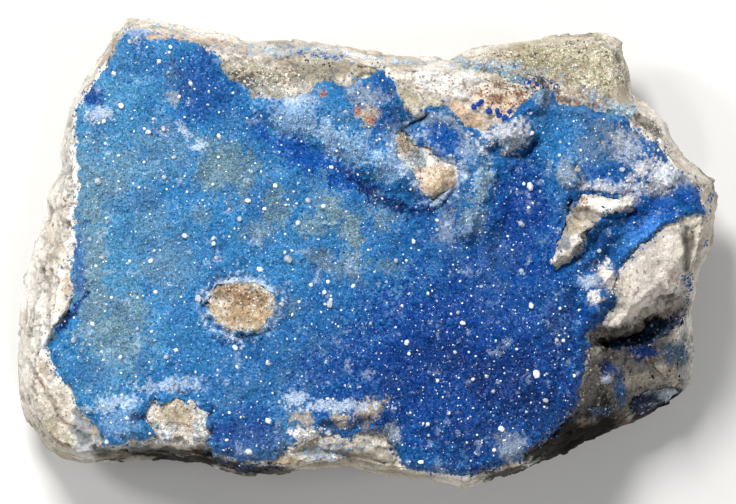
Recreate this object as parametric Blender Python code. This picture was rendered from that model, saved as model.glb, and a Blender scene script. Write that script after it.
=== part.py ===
"""Kinoite specimen: a crust of blue crystals over one face of a broken block of pale rock.

The rock lies on its back, crystals up. +X runs along its length and +Z points away from the crystal face.
All lengths below are millimetres until the last step, which turns them into metres.
"""
import math

import bmesh
import bpy
import numpy as np
from mathutils import Vector
from mathutils.geometry import delaunay_2d_cdt

MM = 0.001

# Driving dimensions.
FACE_HEIGHT = 25.6  # the crystal face above the surface that the rock lies on
CRUST_THICKNESS = 1.1
CRUST_VARIATION = 0.35
GAP = 0.3  # between the rock and each crust on it
ROUNDING = 2.4  # how far the face drops at its rounded lower right edge
ROUNDING_REACH = 4.5
CRYSTAL_SIZE = 1.5  # the largest clear crystals, from corner to corner
CRYSTAL_HEIGHT = 0.8

# Spacing of the mesh points.
EDGE_STEP = 1.9
EDGE_ROUGHNESS = 0.12
COARSE_STEP = 2.0
FINE_STEP = 1.08
FINE_BAND = 1.3  # distance from the edge of a ledge within which points stand closer

SEED = 41

# The outline seen from above, each point with the height of the rock's edge there.
OUTLINE = [
    (-29.2, 28.1, 17), (-26.2, 28.0, 17), (-22.0, 27.0, 18), (-18.4, 26.4, 19), (-14.8, 25.3, 20),
    (-8.2, 25.4, 20), (-2.2, 24.6, 20), (3.0, 23.5, 20), (9.8, 23.2, 19), (12.2, 24.4, 14),
    (17.0, 25.1, 13), (21.2, 25.8, 12), (25.4, 26.4, 11), (28.7, 26.2, 11), (30.6, 25.2, 11),
    (31.1, 22.8, 12), (31.8, 19.0, 13), (33.8, 17.6, 13), (36.0, 15.6, 13), (37.0, 13.2, 14),
    (37.9, 11.4, 15), (39.9, 10.4, 15), (41.8, 8.6, 13), (42.1, 6.6, 12), (41.8, 3.2, 12),
    (41.2, 0.4, 13), (39.9, -2.0, 13), (39.4, -5.0, 12), (38.8, -8.0, 11), (39.2, -12.0, 9),
    (38.8, -16.0, 8), (37.4, -17.6, 7), (33.8, -19.6, 6), (28.4, -22.0, 6), (23.0, -24.6, 8),
    (18.6, -26.2, 14), (15.4, -27.2, 18), (11.6, -28.1, 20), (8.6, -27.4, 20), (5.0, -27.1, 19),
    (1.4, -26.5, 18), (-2.2, -25.7, 17), (-7.0, -26.0, 17), (-10.0, -26.6, 15), (-15.0, -27.0, 12),
    (-19.6, -25.6, 10), (-25.0, -24.9, 9), (-31.0, -25.3, 9), (-34.6, -25.3, 10), (-37.0, -24.6, 10),
    (-39.0, -23.4, 9), (-40.9, -20.9, 8), (-42.0, -17.2, 8), (-42.1, -11.2, 8), (-41.7, -6.4, 8),
    (-41.2, -2.2, 8), (-40.1, 1.4, 9), (-39.1, 4.4, 10), (-37.9, 8.3, 11), (-36.6, 10.2, 13),
    (-37.0, 12.2, 13), (-36.3, 16.1, 14), (-34.4, 20.0, 15), (-32.4, 23.0, 16), (-30.8, 26.2, 17),
]

# Where the face breaks off and the sides of the rock begin.
RIM = [
    (-28.8, 26.9), (-26.2, 26.6), (-22.0, 25.7), (-18.4, 24.2), (-14.2, 23.4), (-8.2, 23.5),
    (-2.2, 22.8), (3.8, 21.8), (9.8, 21.6), (15.8, 21.1), (20.0, 20.9), (22.1, 19.4), (27.8, 17.5),
    (31.4, 16.3), (34.1, 14.4), (35.6, 12.0), (37.4, 9.6), (39.6, 7.9), (40.4, 5.0), (39.8, 1.4),
    (38.9, -1.9), (37.9, -4.6), (34.4, -6.7), (31.4, -8.4), (29.3, -9.7), (27.4, -10.3),
    (26.2, -12.0), (26.0, -14.8), (25.7, -17.5), (24.0, -20.4), (21.6, -23.0), (18.8, -25.0),
    (15.8, -25.9), (11.6, -27.1), (5.0, -26.2), (-2.2, -24.6), (-9.4, -25.4), (-15.4, -25.7),
    (-19.0, -24.5), (-25.0, -23.5), (-31.0, -23.4), (-34.6, -24.0), (-37.2, -22.6), (-39.1, -19.6),
    (-40.0, -16.0), (-39.6, -11.8), (-38.2, -7.0), (-36.2, 0.2), (-35.6, 4.4), (-35.6, 11.0),
    (-35.3, 16.4), (-33.8, 19.7), (-31.4, 23.0), (-30.2, 25.2),
]

# The edge of the blue crust, and the places inside it where bare rock shows.
CRUST_EDGE = [
    (-30.7, 23.3), (-29.5, 25.9), (-27.8, 27.0), (-24.4, 26.3), (-20.2, 25.2), (-18.2, 23.3),
    (-16.3, 20.4), (-13.9, 18.2), (-8.2, 18.5), (-5.2, 19.9), (-2.2, 20.2), (0.5, 20.9), (2.9, 22.0),
    (4.3, 20.4), (4.7, 18.2), (6.2, 17.4), (9.8, 18.7), (12.2, 16.8), (14.6, 14.9), (15.8, 16.8),
    (18.2, 17.5), (21.2, 19.4), (23.3, 17.8), (26.6, 17.0), (29.6, 16.8), (32.6, 15.6), (34.4, 13.4),
    (36.0, 11.0), (38.6, 9.4), (40.1, 7.4), (40.0, 4.6), (38.0, 4.0), (35.0, 2.4), (32.6, 0.8),
    (30.5, -1.2), (29.4, -4.0), (29.3, -6.4), (28.1, -8.2), (26.6, -9.7), (25.8, -12.0),
    (25.6, -15.1), (25.2, -17.6), (23.5, -20.5), (21.2, -22.9), (18.6, -24.8), (15.6, -25.7),
    (11.6, -26.8), (7.4, -26.3), (4.6, -25.8), (2.0, -22.3), (-2.2, -21.8), (-6.7, -22.1),
    (-9.4, -23.8), (-11.5, -24.9), (-15.4, -25.2), (-18.0, -24.4), (-19.3, -22.6), (-19.6, -18.7),
    (-23.2, -17.2), (-26.2, -17.6), (-27.1, -19.6), (-25.6, -21.8), (-28.6, -23.0), (-31.6, -22.8),
    (-32.4, -20.8), (-34.6, -17.8), (-36.2, -15.6), (-38.2, -11.8), (-36.0, -7.7), (-34.6, -5.5),
    (-35.3, -2.8), (-35.2, -0.4), (-34.9, 6.2), (-34.8, 12.2), (-35.0, 16.4), (-34.1, 18.8),
    (-32.4, 21.2),
]
BARE_KNOB = [
    (-19.0, -4.7), (-17.5, -3.8), (-14.8, -3.6), (-12.7, -4.0), (-11.3, -5.3), (-11.5, -7.9),
    (-13.4, -9.7), (-16.0, -9.6), (-18.0, -8.4), (-19.2, -6.5),
]
BARE_CREST = [
    (22.1, -1.2), (22.6, 1.4), (23.8, 4.4), (24.5, 6.2), (25.7, 7.3), (28.6, 7.0), (31.7, 6.5),
    (31.0, 5.0), (28.1, 4.0), (26.6, 2.6), (25.4, 0.6), (23.8, -1.6), (22.6, -2.3),
]
BARE_KNUCKLE = [
    (3.4, 14.6), (5.0, 15.1), (5.9, 12.7), (8.6, 11.3), (10.7, 10.1), (10.4, 7.7), (7.9, 6.6),
    (6.5, 7.4), (5.0, 9.6), (3.4, 11.3),
]
HOLLOW_CRUST = [
    (28.6, -10.8), (30.4, -10.3), (32.6, -9.2), (34.6, -8.0), (36.6, -7.8), (37.2, -8.8),
    (35.0, -10.6), (32.4, -11.6), (29.6, -12.0),
]
VEIN_CRUST = [
    (31.0, -18.8), (32.2, -17.6), (34.1, -16.8), (36.0, -16.6), (36.9, -17.2), (35.5, -18.2),
    (33.6, -19.1), (31.9, -19.4),
]

# Ledges, ridges and hollows: outline, how far it rises from the face, and how wide its slope is.
UPPER_LEDGE = [
    (-20.2, 30.0), (-19.7, 24.7), (-17.0, 20.2), (-12.7, 15.4), (-10.0, 13.7), (-6.7, 12.7),
    (-2.2, 9.8), (0.5, 7.9), (3.6, 6.2), (7.0, 5.3), (9.4, 5.5), (11.0, 7.2), (10.8, 10.1),
    (8.2, 12.2), (6.2, 13.9), (4.8, 16.6), (7.4, 17.5), (10.1, 18.5), (12.2, 16.6), (14.4, 14.6),
    (15.1, 12.7), (17.3, 12.0), (19.4, 12.7), (21.1, 14.9), (20.8, 17.5), (21.6, 19.7), (21.6, 30.0),
]
LEDGE_CROWN = [
    (-20.6, 30.0), (-17.5, 23.0), (-16.3, 20.9), (-13.4, 18.9), (-8.2, 18.9), (-2.2, 20.3),
    (2.9, 21.6), (5.0, 19.8), (10.1, 19.6), (14.6, 17.0), (18.2, 17.9), (20.6, 20.2), (21.2, 30.0),
]
GREEN_RIDGE = [
    (10.1, 12.2), (13.4, 12.7), (14.9, 11.3), (15.1, 8.4), (14.4, 5.3), (13.2, 2.4), (11.3, 0.7),
    (10.1, 2.6), (10.6, 5.6), (11.3, 8.0),
]
DEEP_POCKET = [
    (15.1, 11.0), (17.8, 11.8), (20.2, 12.5), (22.1, 11.0), (23.8, 7.4), (23.0, 4.4), (21.8, 0.2),
    (20.6, -4.0), (17.3, -4.8), (14.4, -1.9), (13.7, 1.4), (14.6, 5.0), (15.4, 8.0),
]
BOWL = [
    (21.2, 19.2), (23.8, 17.5), (26.9, 16.6), (28.3, 14.6), (29.3, 12.2), (31.2, 10.3), (30.5, 8.2),
    (27.8, 7.7), (25.4, 8.2), (23.8, 9.1), (21.6, 12.2), (20.6, 14.6),
]
CREST = [
    (21.4, -1.2), (22.1, 1.9), (23.3, 4.8), (24.2, 6.7), (25.7, 7.7), (28.6, 7.4), (32.6, 6.7),
    (32.6, 4.8), (29.3, 3.6), (27.6, 2.4), (26.2, 0.5), (24.2, -1.7), (22.3, -2.6),
]
VALLEY = [
    (24.2, -2.4), (26.4, 0.2), (28.1, 2.2), (31.4, 4.1), (33.1, 6.2), (32.6, 8.9), (34.1, 10.1),
    (36.0, 8.4), (38.6, 6.7), (39.8, 4.6), (37.7, 3.8), (34.6, 2.2), (31.9, 0.5), (30.0, -1.7),
    (28.6, -3.4), (26.4, -4.8), (24.5, -4.3),
]
MOUND = [
    (31.2, 12.2), (33.8, 13.2), (36.0, 11.3), (38.6, 9.8), (40.1, 8.4), (37.9, 7.9), (36.0, 7.0),
    (33.8, 6.2), (32.6, 7.9),
]
SLAB = [
    (29.8, -1.9), (31.9, 0.2), (34.8, 1.9), (37.9, 3.6), (39.4, 3.1), (39.1, 0.7), (38.4, -1.9),
    (37.0, -4.1), (34.1, -5.8), (32.2, -7.2), (30.5, -9.8), (28.6, -9.8), (27.8, -8.4), (29.3, -6.5),
    (29.3, -4.1),
]
CLUSTER = [
    (25.2, -1.2), (27.8, -2.2), (29.3, -4.6), (29.0, -7.2), (27.6, -8.9), (25.9, -8.4), (24.5, -6.5),
    (24.0, -3.6),
]
HOLLOW = [
    (27.1, -10.1), (29.3, -9.8), (31.4, -8.4), (33.8, -6.5), (36.7, -5.3), (38.6, -5.8), (38.4, -7.9),
    (36.0, -9.3), (33.8, -11.0), (31.2, -11.9), (28.6, -12.2),
]
SPUR = [
    (27.6, -18.7), (29.3, -16.6), (32.6, -14.6), (36.0, -13.7), (38.6, -14.4), (37.9, -16.1),
    (35.0, -16.3), (31.7, -18.0), (29.3, -19.7), (26.9, -20.6), (25.7, -21.1),
]
LEFT_PAD = [
    (-32.6, -20.2), (-32.2, -17.8), (-28.8, -17.3), (-26.2, -16.3), (-22.6, -16.6), (-19.4, -17.3),
    (-18.7, -20.2), (-18.7, -22.6), (-20.6, -23.4), (-26.2, -23.4), (-30.7, -23.5), (-32.4, -22.6),
]
LOWER_LEDGE = [
    (-9.8, -24.0), (-9.6, -21.1), (-8.6, -19.0), (-4.6, -19.2), (-1.4, -18.0), (1.9, -17.5),
    (2.4, -20.2), (3.4, -23.5), (2.9, -28.0), (-2.2, -28.0), (-8.2, -28.0),
]
GROOVE = [(-6.7, -20.2), (-2.8, -19.9), (1.0, -19.4), (1.4, -21.4), (-2.2, -21.8), (-6.0, -21.8)]
KNOB = [
    (-19.8, -5.0), (-18.5, -3.6), (-15.6, -3.0), (-12.7, -3.2), (-11.0, -4.3), (-10.3, -6.2),
    (-10.8, -8.6), (-12.7, -10.1), (-15.6, -10.4), (-18.0, -9.4), (-19.4, -7.7),
]
RELIEF = [
    (UPPER_LEDGE, 2.7, 1.5),
    (LEDGE_CROWN, 1.8, 4.0),
    (GREEN_RIDGE, 1.5, 1.6),
    (DEEP_POCKET, -1.5, 2.2),
    (BOWL, -0.8, 1.6),
    (CREST, 3.0, 1.4),
    (VALLEY, -1.6, 1.8),
    (MOUND, 1.5, 1.4),
    (SLAB, 3.6, 1.3),
    (CLUSTER, 1.0, 1.2),
    (HOLLOW, -5.5, 1.5),
    (SPUR, 1.5, 1.4),
    (LEFT_PAD, 1.6, 1.0),
    (LOWER_LEDGE, 1.3, 1.2),
    (GROOVE, -1.0, 0.8),
    (KNOB, 2.3, 1.0),
]

# The block that sticks out behind the face at the top right lies lower and leans a little.
BLOCK = [
    (12.2, 24.0), (17.0, 27.0), (21.2, 28.0), (25.4, 29.0), (30.0, 29.0), (33.0, 25.0), (33.0, 22.8),
    (33.0, 18.4), (30.0, 17.3), (26.0, 17.8), (22.4, 19.2), (20.2, 20.9), (15.8, 21.8), (12.8, 22.8),
]
BLOCK_HEIGHT = 17.0
BLOCK_LEAN = 0.35  # drop per millimetre towards +Y
BLOCK_SLOPE = 1.6

# The large clear crystals that stand out of the crust.
LARGE_CRYSTALS = [
    (-23.8, 23.9), (-25.0, 22.8), (-16.2, 19.0), (-22.6, 18.6), (-30.4, 21.4), (-29.6, 17.5),
    (-31.6, 15.7), (-26.2, 14.3), (-31.4, 13.0), (-26.8, 10.8), (-17.8, 13.8), (-17.9, 11.4),
    (-14.4, 6.2), (-12.4, 5.2), (-5.3, 5.5), (-8.4, 3.5), (-11.2, 8.0), (-10.0, 0.0), (-18.5, 1.6),
    (-22.0, 2.0), (-26.0, -1.1), (-6.8, -4.0), (-1.8, -4.1), (-4.4, -5.8), (-25.4, -4.8),
    (-32.6, -1.7), (-25.8, -9.5), (-33.0, -8.6), (-23.0, -11.8), (-31.8, -12.0), (-15.7, -13.8),
    (-17.2, -23.6), (-12.0, -20.2), (-14.2, -24.0), (8.3, 3.8), (5.4, 1.3), (19.4, 7.9), (4.1, -6.5),
    (23.0, -6.7), (19.6, -6.4), (4.7, -10.8), (8.3, -15.4), (17.8, -11.6), (20.2, -14.6), (16.0, -21.1),
    (7.2, -20.6), (11.3, -8.5), (23.4, -10.6),
]

# The sides below the edge: share of the edge's height, and width there against the outline's.
SIDE_RINGS = [(0.85, 0.992), (0.66, 0.985), (0.46, 0.975), (0.26, 0.955), (0.10, 0.925), (0.0, 0.88)]
SIDE_ROUGHNESS = 0.014

# Flat breaks across the sides: direction that each faces from above, how far it leans under, and
# how deep it cuts into the outline's widest point that way, halfway up.
BREAKS = [
    (8, 12, 0.6), (32, 24, 2.4), (58, 9, 3.2), (78, 18, 0.8), (101, 7, 1.6), (124, 21, 2.6),
    (147, 10, 3.0), (166, 26, 1.0), (189, 13, 1.2), (212, 31, 3.4), (237, 8, 2.0), (256, 19, 1.8),
    (279, 28, 1.6), (301, 11, 2.2), (322, 22, 3.6), (344, 16, 1.4),
]
BREAK_LEVEL = 8.0
DEEPEST_BREAK = 0.24


def smooth_step(value):
    value = np.clip(value, 0.0, 1.0)
    return value * value * (3.0 - 2.0 * value)


def edge_distance(points, outline):
    """Distance to the nearest edge of the outline, and the value carried by that edge's points."""
    best = np.full(len(points), 1e9)
    carried = np.zeros(len(points))
    corners = [tuple(corner) + (0.0,) * (3 - len(corner)) for corner in outline]
    for start, end in zip(corners, corners[1:] + corners[:1]):
        base = np.array(start[:2])
        along = np.array(end[:2]) - base
        share = np.clip((points - base) @ along / (along @ along), 0.0, 1.0)
        apart = np.hypot(*(points - base - share[:, None] * along).T)
        closer = apart < best
        best[closer] = apart[closer]
        carried[closer] = (start[2] + share * (end[2] - start[2]))[closer]
    return best, carried


def is_inside(points, outline):
    inside = np.zeros(len(points), bool)
    x, y = points.T
    corners = [corner[:2] for corner in outline]
    for (x0, y0), (x1, y1) in zip(corners, corners[1:] + corners[:1]):
        if y0 != y1:
            crosses = (y0 > y) != (y1 > y)
            inside ^= crosses & (x < (x1 - x0) * (y - y0) / (y1 - y0) + x0)
    return inside


def signed_distance(points, outline):
    distance = edge_distance(points, outline)[0]
    return np.where(is_inside(points, outline), distance, -distance)


def smooth_noise(points, size, seed):
    """Random values from -1 to 1 that change over about size millimetres."""
    table = np.random.default_rng(seed).uniform(-1.0, 1.0, (64, 64))
    place = points / size + 32.0
    cell = np.floor(place).astype(int)
    share = smooth_step(place - cell)
    column, row = (cell % 63).T
    low = table[row, column] * (1 - share[:, 0]) + table[row, column + 1] * share[:, 0]
    high = table[row + 1, column] * (1 - share[:, 0]) + table[row + 1, column + 1] * share[:, 0]
    return low * (1 - share[:, 1]) + high * share[:, 1]


def rock_height(points):
    """Height of the bare rock at each point of the view from above."""
    points = np.asarray(points, float)
    face = FACE_HEIGHT + 0.6 * smooth_noise(points, 14.0, SEED) + 0.35 * smooth_noise(points, 4.5, SEED + 1)
    to_rim = signed_distance(points, RIM)
    lower_right = smooth_step((points[:, 0] - points[:, 1] - 5.0) / 30.0)
    near_rim = np.exp(-np.maximum(to_rim, 0.0) / ROUNDING_REACH)
    height = face - ROUNDING * near_rim * (0.25 + 0.75 * lower_right)
    for outline, rise, slope in RELIEF:
        height += rise * smooth_step(signed_distance(points, outline) / slope)
    to_edge, edge_height = edge_distance(points, OUTLINE)
    beyond = np.maximum(-to_rim, 0.0)
    share = beyond / np.maximum(beyond + to_edge, 1e-6)
    height = height + (edge_height - height) * share
    block = smooth_step(signed_distance(points, BLOCK) / BLOCK_SLOPE)
    leaning = BLOCK_HEIGHT - BLOCK_LEAN * (points[:, 1] - BLOCK[0][1])
    height = height + (leaning - height) * block * smooth_step(to_edge / 2.0)
    roughness = 0.28 * smooth_noise(points, 2.2, SEED + 2) * smooth_step(to_edge / 1.5)
    return height + roughness


def resample(outline, rng):
    """Points along a closed outline: every corner, and points between them a little off the line."""
    corners = [np.array(corner[:2], float) for corner in outline]
    points = []
    for start, end in zip(corners, corners[1:] + corners[:1]):
        length = float(np.hypot(*(end - start)))
        count = max(1, round(length / EDGE_STEP))
        across = np.array((end[1] - start[1], start[0] - end[0])) / length
        points.append(start)
        for index in range(1, count):
            off = rng.choice((-1.0, 1.0)) * rng.uniform(0.5, 1.0) * EDGE_ROUGHNESS
            points.append(start + (end - start) * index / count + across * off)
    return np.array(points)


def spread_points(borders, rng):
    """Scattered points inside the outline, closer together along ledges and ridges."""
    candidates = rng.uniform((-43.0, -29.0), (43.0, 29.0), (26000, 2))
    candidates = candidates[is_inside(candidates, OUTLINE)]
    nearest = np.full(len(candidates), 1e9)
    for outline, _rise, slope in RELIEF + [(BLOCK, 0, BLOCK_SLOPE), (RIM, 0, 1.0)]:
        near = np.abs(signed_distance(candidates, outline) - slope / 2.0)
        nearest = np.minimum(nearest, near)
    steps = np.where(nearest < FINE_BAND, FINE_STEP, COARSE_STEP)
    kept = [point for border in borders for point in border]
    fixed = len(kept)
    grid = {}
    for point in kept:
        grid.setdefault((int(point[0] // 3), int(point[1] // 3)), []).append(point)
    for point, step in zip(candidates, steps):
        column, row = int(point[0] // 3), int(point[1] // 3)
        around = [
            other
            for i in (-1, 0, 1)
            for j in (-1, 0, 1)
            for other in grid.get((column + i, row + j), ())
        ]
        if all(math.hypot(*(point - other)) > step for other in around):
            grid.setdefault((column, row), []).append(point)
            kept.append(point)
    return np.array(kept[fixed:])


def triangulate(borders, loose):
    """Delaunay triangles over the borders and the loose points, with every border line kept."""
    points = []
    edges = []
    for border in borders:
        first = len(points)
        points += [Vector(point) for point in border]
        edges += [(first + i, first + (i + 1) % len(border)) for i in range(len(border))]
    points += [Vector(point) for point in loose]
    flat, _edges, faces, *_origins = delaunay_2d_cdt(points, edges, [], 0, 1e-7)
    flat = np.array([tuple(point) for point in flat])
    faces = np.array([face for face in faces if len(face) == 3])
    a, b, c = (flat[faces[:, i]] for i in range(3))
    turn = (b - a)[:, 0] * (c - a)[:, 1] - (b - a)[:, 1] * (c - a)[:, 0]
    faces[turn < 0] = faces[turn < 0][:, ::-1]
    return flat, faces[np.abs(turn) > 1e-9]


def in_region(points, faces, outer, holes=()):
    centres = points[faces].mean(axis=1)
    inside = is_inside(centres, outer)
    for hole in holes:
        inside &= ~is_inside(centres, hole)
    return faces[inside]


def border_edges(faces):
    """Directed edges that only one triangle uses."""
    used = {(int(f[i]), int(f[(i + 1) % 3])) for f in faces for i in range(3)}
    return [edge for edge in used if (edge[1], edge[0]) not in used]


def make_object(name, points, faces, colour, roughness):
    mesh = bpy.data.meshes.new(name)
    mesh.from_pydata([tuple(point * MM for point in place) for place in points], [], faces)
    bm = bmesh.new()
    bm.from_mesh(mesh)
    bmesh.ops.delete(bm, geom=[v for v in bm.verts if not v.link_faces], context="VERTS")
    bm.to_mesh(mesh)
    bm.free()
    material = bpy.data.materials.new(name)
    material.use_nodes = True
    shader = material.node_tree.nodes["Principled BSDF"]
    shader.inputs["Base Color"].default_value = (*colour, 1.0)
    shader.inputs["Roughness"].default_value = roughness
    shader.inputs["Metallic"].default_value = 0.0
    mesh.materials.append(material)
    made = bpy.data.objects.new(name, mesh)
    bpy.context.collection.objects.link(made)
    return made


def side_ring(edge, level, width, seed):
    """One ring round the rock below its edge, cut by the breaks and never wider than the outline."""
    angles = np.arctan2(edge[:, 1], edge[:, 0])
    circle = np.column_stack((np.cos(angles), np.sin(angles))) * 9.0
    rough = smooth_noise(circle, 1.1, seed) - 0.6
    scale = width + SIDE_ROUGHNESS * rough
    heights = edge[:, 2] * level
    for facing, lean, depth in BREAKS:
        turn, tilt = math.radians(facing), math.radians(lean)
        across = edge[:, :2] @ np.array((math.cos(turn), math.sin(turn)))
        reach = across.max() - depth + (heights - BREAK_LEVEL) * math.tan(tilt)
        facing_it = across > 1.0
        scale[facing_it] = np.minimum(scale[facing_it], reach[facing_it] / across[facing_it])
    scale = np.maximum(scale, 0.98 - DEEPEST_BREAK * (1.0 - level))
    return np.column_stack((edge[:, :2] * scale[:, None], heights))


def make_matrix(flat, faces, edge_count):
    """The rock: its top, broken sides and the flat face that it lies on."""
    top = np.column_stack((flat, rock_height(flat)))
    points = [tuple(point) for point in top]
    solid = [tuple(int(i) for i in face) for face in faces]
    edge = top[:edge_count]
    upper = list(range(edge_count))
    for number, (level, width) in enumerate(SIDE_RINGS):
        ring = side_ring(edge, level, width, SEED + 10 + number)
        lower = list(range(len(points), len(points) + edge_count))
        points += [tuple(point) for point in ring]
        for i in range(edge_count):
            j = (i + 1) % edge_count
            solid.append((upper[i], upper[j], lower[j]))
            solid.append((upper[i], lower[j], lower[i]))
        upper = lower
    points.append((0.0, 0.0, 0.0))
    solid += [(upper[i], upper[(i + 1) % edge_count], len(points) - 1) for i in range(edge_count)]
    return make_object("matrix", points, solid, (0.62, 0.56, 0.47), 0.9)


def crystal_corners(place, size, turn):
    """Foot and top corners of one square crystal with a flat top."""
    angles = turn + np.arange(4) * math.pi / 2.0
    out = np.column_stack((np.cos(angles), np.sin(angles)))
    return place + out * size * 0.5, place + out * size * 0.36


def make_crust(name, flat, faces, borders, crystals, colour, rng):
    """A crust on the rock: it follows the rock below and is rough, with crystals, above."""
    used = np.unique(faces)
    bottom_number = {int(old): new for new, old in enumerate(used)}
    below = rock_height(flat[used]) + GAP
    points = [(*flat[old], z) for old, z in zip(used, below)]
    solid = [tuple(bottom_number[int(i)] for i in face[::-1]) for face in faces]

    feet, tops = [], []
    for place in crystals:
        size = CRYSTAL_SIZE * rng.uniform(0.65, 1.0)
        foot, top = crystal_corners(np.array(place), size, rng.uniform(0.0, math.pi / 2.0))
        feet.append(foot)
        tops.append(top)
    placed = flat[used]
    if crystals:
        middles = np.array(crystals)
        on_border = np.isin(used, np.unique(np.array(border_edges(faces))))
        apart = np.hypot(*(placed[:, None] - middles[None]).transpose(2, 0, 1)).min(axis=1)
        placed = placed[(apart > CRYSTAL_SIZE * 0.6) | on_border]
    rings = [list(ring) for ring in borders + feet + tops]
    in_rings = {(round(float(p[0]), 4), round(float(p[1]), 4)) for ring in rings for p in ring}
    loose = [p for p in placed if (round(float(p[0]), 4), round(float(p[1]), 4)) not in in_rings]
    upper, upper_faces = triangulate(rings, loose)
    upper_faces = in_region(upper, upper_faces, borders[0], borders[1:])

    thickness = CRUST_THICKNESS + CRUST_VARIATION * rng.uniform(-1.0, 1.0, len(upper))
    z = rock_height(upper) + GAP + thickness
    ring_start = sum(len(border) for border in borders)
    for number in range(len(feet)):
        first = ring_start + number * 4
        raised = ring_start + len(feet) * 4 + number * 4
        z[raised : raised + 4] = z[first : first + 4].mean() + CRYSTAL_HEIGHT * rng.uniform(0.7, 1.0)
    start = len(points)
    points += [(*place, height) for place, height in zip(upper, z)]
    solid += [tuple(int(i) + start for i in face) for face in upper_faces]

    where = {(round(float(p[0]), 4), round(float(p[1]), 4)): i for i, p in enumerate(upper)}
    for a, b in border_edges(faces):
        low_a, low_b = bottom_number[a], bottom_number[b]
        high_a, high_b = (
            start + where[(round(float(flat[i][0]), 4), round(float(flat[i][1]), 4))] for i in (a, b)
        )
        solid.append((low_a, low_b, high_b))
        solid.append((low_a, high_b, high_a))
    return make_object(name, points, solid, colour, 0.35)


def build():
    for old in list(bpy.data.objects):
        bpy.data.objects.remove(old, do_unlink=True)
    rng = np.random.default_rng(SEED)
    edge = resample(OUTLINE, rng)
    main = [resample(ring, rng) for ring in (CRUST_EDGE, BARE_KNOB, BARE_CREST, BARE_KNUCKLE)]
    hollow = resample(HOLLOW_CRUST, rng)
    vein = resample(VEIN_CRUST, rng)
    borders = [edge] + main + [hollow, vein]
    flat, faces = triangulate(borders, spread_points(borders, rng))
    faces = in_region(flat, faces, edge)
    make_matrix(flat, faces, len(edge))
    covered = in_region(flat, faces, main[0], main[1:])
    make_crust("main_druse", flat, covered, main, LARGE_CRYSTALS, (0.05, 0.18, 0.45), rng)
    covered = in_region(flat, faces, hollow)
    make_crust("hollow_druse", flat, covered, [hollow], [], (0.10, 0.24, 0.48), rng)
    covered = in_region(flat, faces, vein)
    make_crust("vein_druse", flat, covered, [vein], [], (0.03, 0.10, 0.36), rng)


build()
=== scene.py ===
"""Looks of the kinoite specimen: pale broken rock with a sparkling blue crust and clear crystals.

Lengths are millimetres, in the model's frame, until a mesh is made. The rock's shape follows the same
outlines and heights as the solids that it dresses.
"""
import math

import bpy
import numpy as np
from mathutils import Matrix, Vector
from mathutils.geometry import delaunay_2d_cdt


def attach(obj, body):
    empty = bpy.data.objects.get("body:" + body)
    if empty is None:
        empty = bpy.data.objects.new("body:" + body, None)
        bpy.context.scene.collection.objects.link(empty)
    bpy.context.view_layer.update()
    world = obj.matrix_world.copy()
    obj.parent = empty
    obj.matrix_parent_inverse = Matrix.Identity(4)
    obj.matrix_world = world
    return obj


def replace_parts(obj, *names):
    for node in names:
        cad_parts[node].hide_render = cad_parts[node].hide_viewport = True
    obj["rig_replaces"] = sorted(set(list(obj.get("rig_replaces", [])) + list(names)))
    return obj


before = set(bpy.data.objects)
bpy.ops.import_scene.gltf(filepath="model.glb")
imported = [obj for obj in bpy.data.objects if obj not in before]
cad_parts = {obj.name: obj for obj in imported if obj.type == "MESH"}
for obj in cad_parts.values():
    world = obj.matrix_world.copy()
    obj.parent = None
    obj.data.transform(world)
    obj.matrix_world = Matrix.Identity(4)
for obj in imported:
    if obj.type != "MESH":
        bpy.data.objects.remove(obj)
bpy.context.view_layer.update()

# Metres in a millimetre, the first random seed, and a distance beyond all others.
MM = 0.001
SEED = 41
FAR = 1e9

# The shape of the rock, as the solids have it.
FACE_HEIGHT = 25.6
CRUST_THICKNESS = 1.4
ROUNDING = 2.4
ROUNDING_REACH = 4.5
LEAST_ROUNDING = 0.25
OUTLINE = [
    (-29.2, 28.1, 17), (-26.2, 28.0, 17), (-22.0, 27.0, 18), (-18.4, 26.4, 19), (-14.8, 25.3, 20),
    (-8.2, 25.4, 20), (-2.2, 24.6, 20), (3.0, 23.5, 20), (9.8, 23.2, 19), (12.2, 24.4, 14),
    (17.0, 25.1, 13), (21.2, 25.8, 12), (25.4, 26.4, 11), (28.7, 26.2, 11), (30.6, 25.2, 11),
    (31.1, 22.8, 12), (31.8, 19.0, 13), (33.8, 17.6, 13), (36.0, 15.6, 13), (37.0, 13.2, 14),
    (37.9, 11.4, 15), (39.9, 10.4, 15), (41.8, 8.6, 13), (42.1, 6.6, 12), (41.8, 3.2, 12),
    (41.2, 0.4, 13), (39.9, -2.0, 13), (39.4, -5.0, 12), (38.8, -8.0, 11), (39.2, -12.0, 9),
    (38.8, -16.0, 8), (37.4, -17.6, 7), (33.8, -19.6, 6), (28.4, -22.0, 6), (23.0, -24.6, 8),
    (18.6, -26.2, 14), (15.4, -27.2, 18), (11.6, -28.1, 20), (8.6, -27.4, 20), (5.0, -27.1, 19),
    (1.4, -26.5, 18), (-2.2, -25.7, 17), (-7.0, -26.0, 17), (-10.0, -26.6, 15), (-15.0, -27.0, 12),
    (-19.6, -25.6, 10), (-25.0, -24.9, 9), (-31.0, -25.3, 9), (-34.6, -25.3, 10), (-37.0, -24.6, 10),
    (-39.0, -23.4, 9), (-40.9, -20.9, 8), (-42.0, -17.2, 8), (-42.1, -11.2, 8), (-41.7, -6.4, 8),
    (-41.2, -2.2, 8), (-40.1, 1.4, 9), (-39.1, 4.4, 10), (-37.9, 8.3, 11), (-36.6, 10.2, 13),
    (-37.0, 12.2, 13), (-36.3, 16.1, 14), (-34.4, 20.0, 15), (-32.4, 23.0, 16), (-30.8, 26.2, 17),
]
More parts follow.
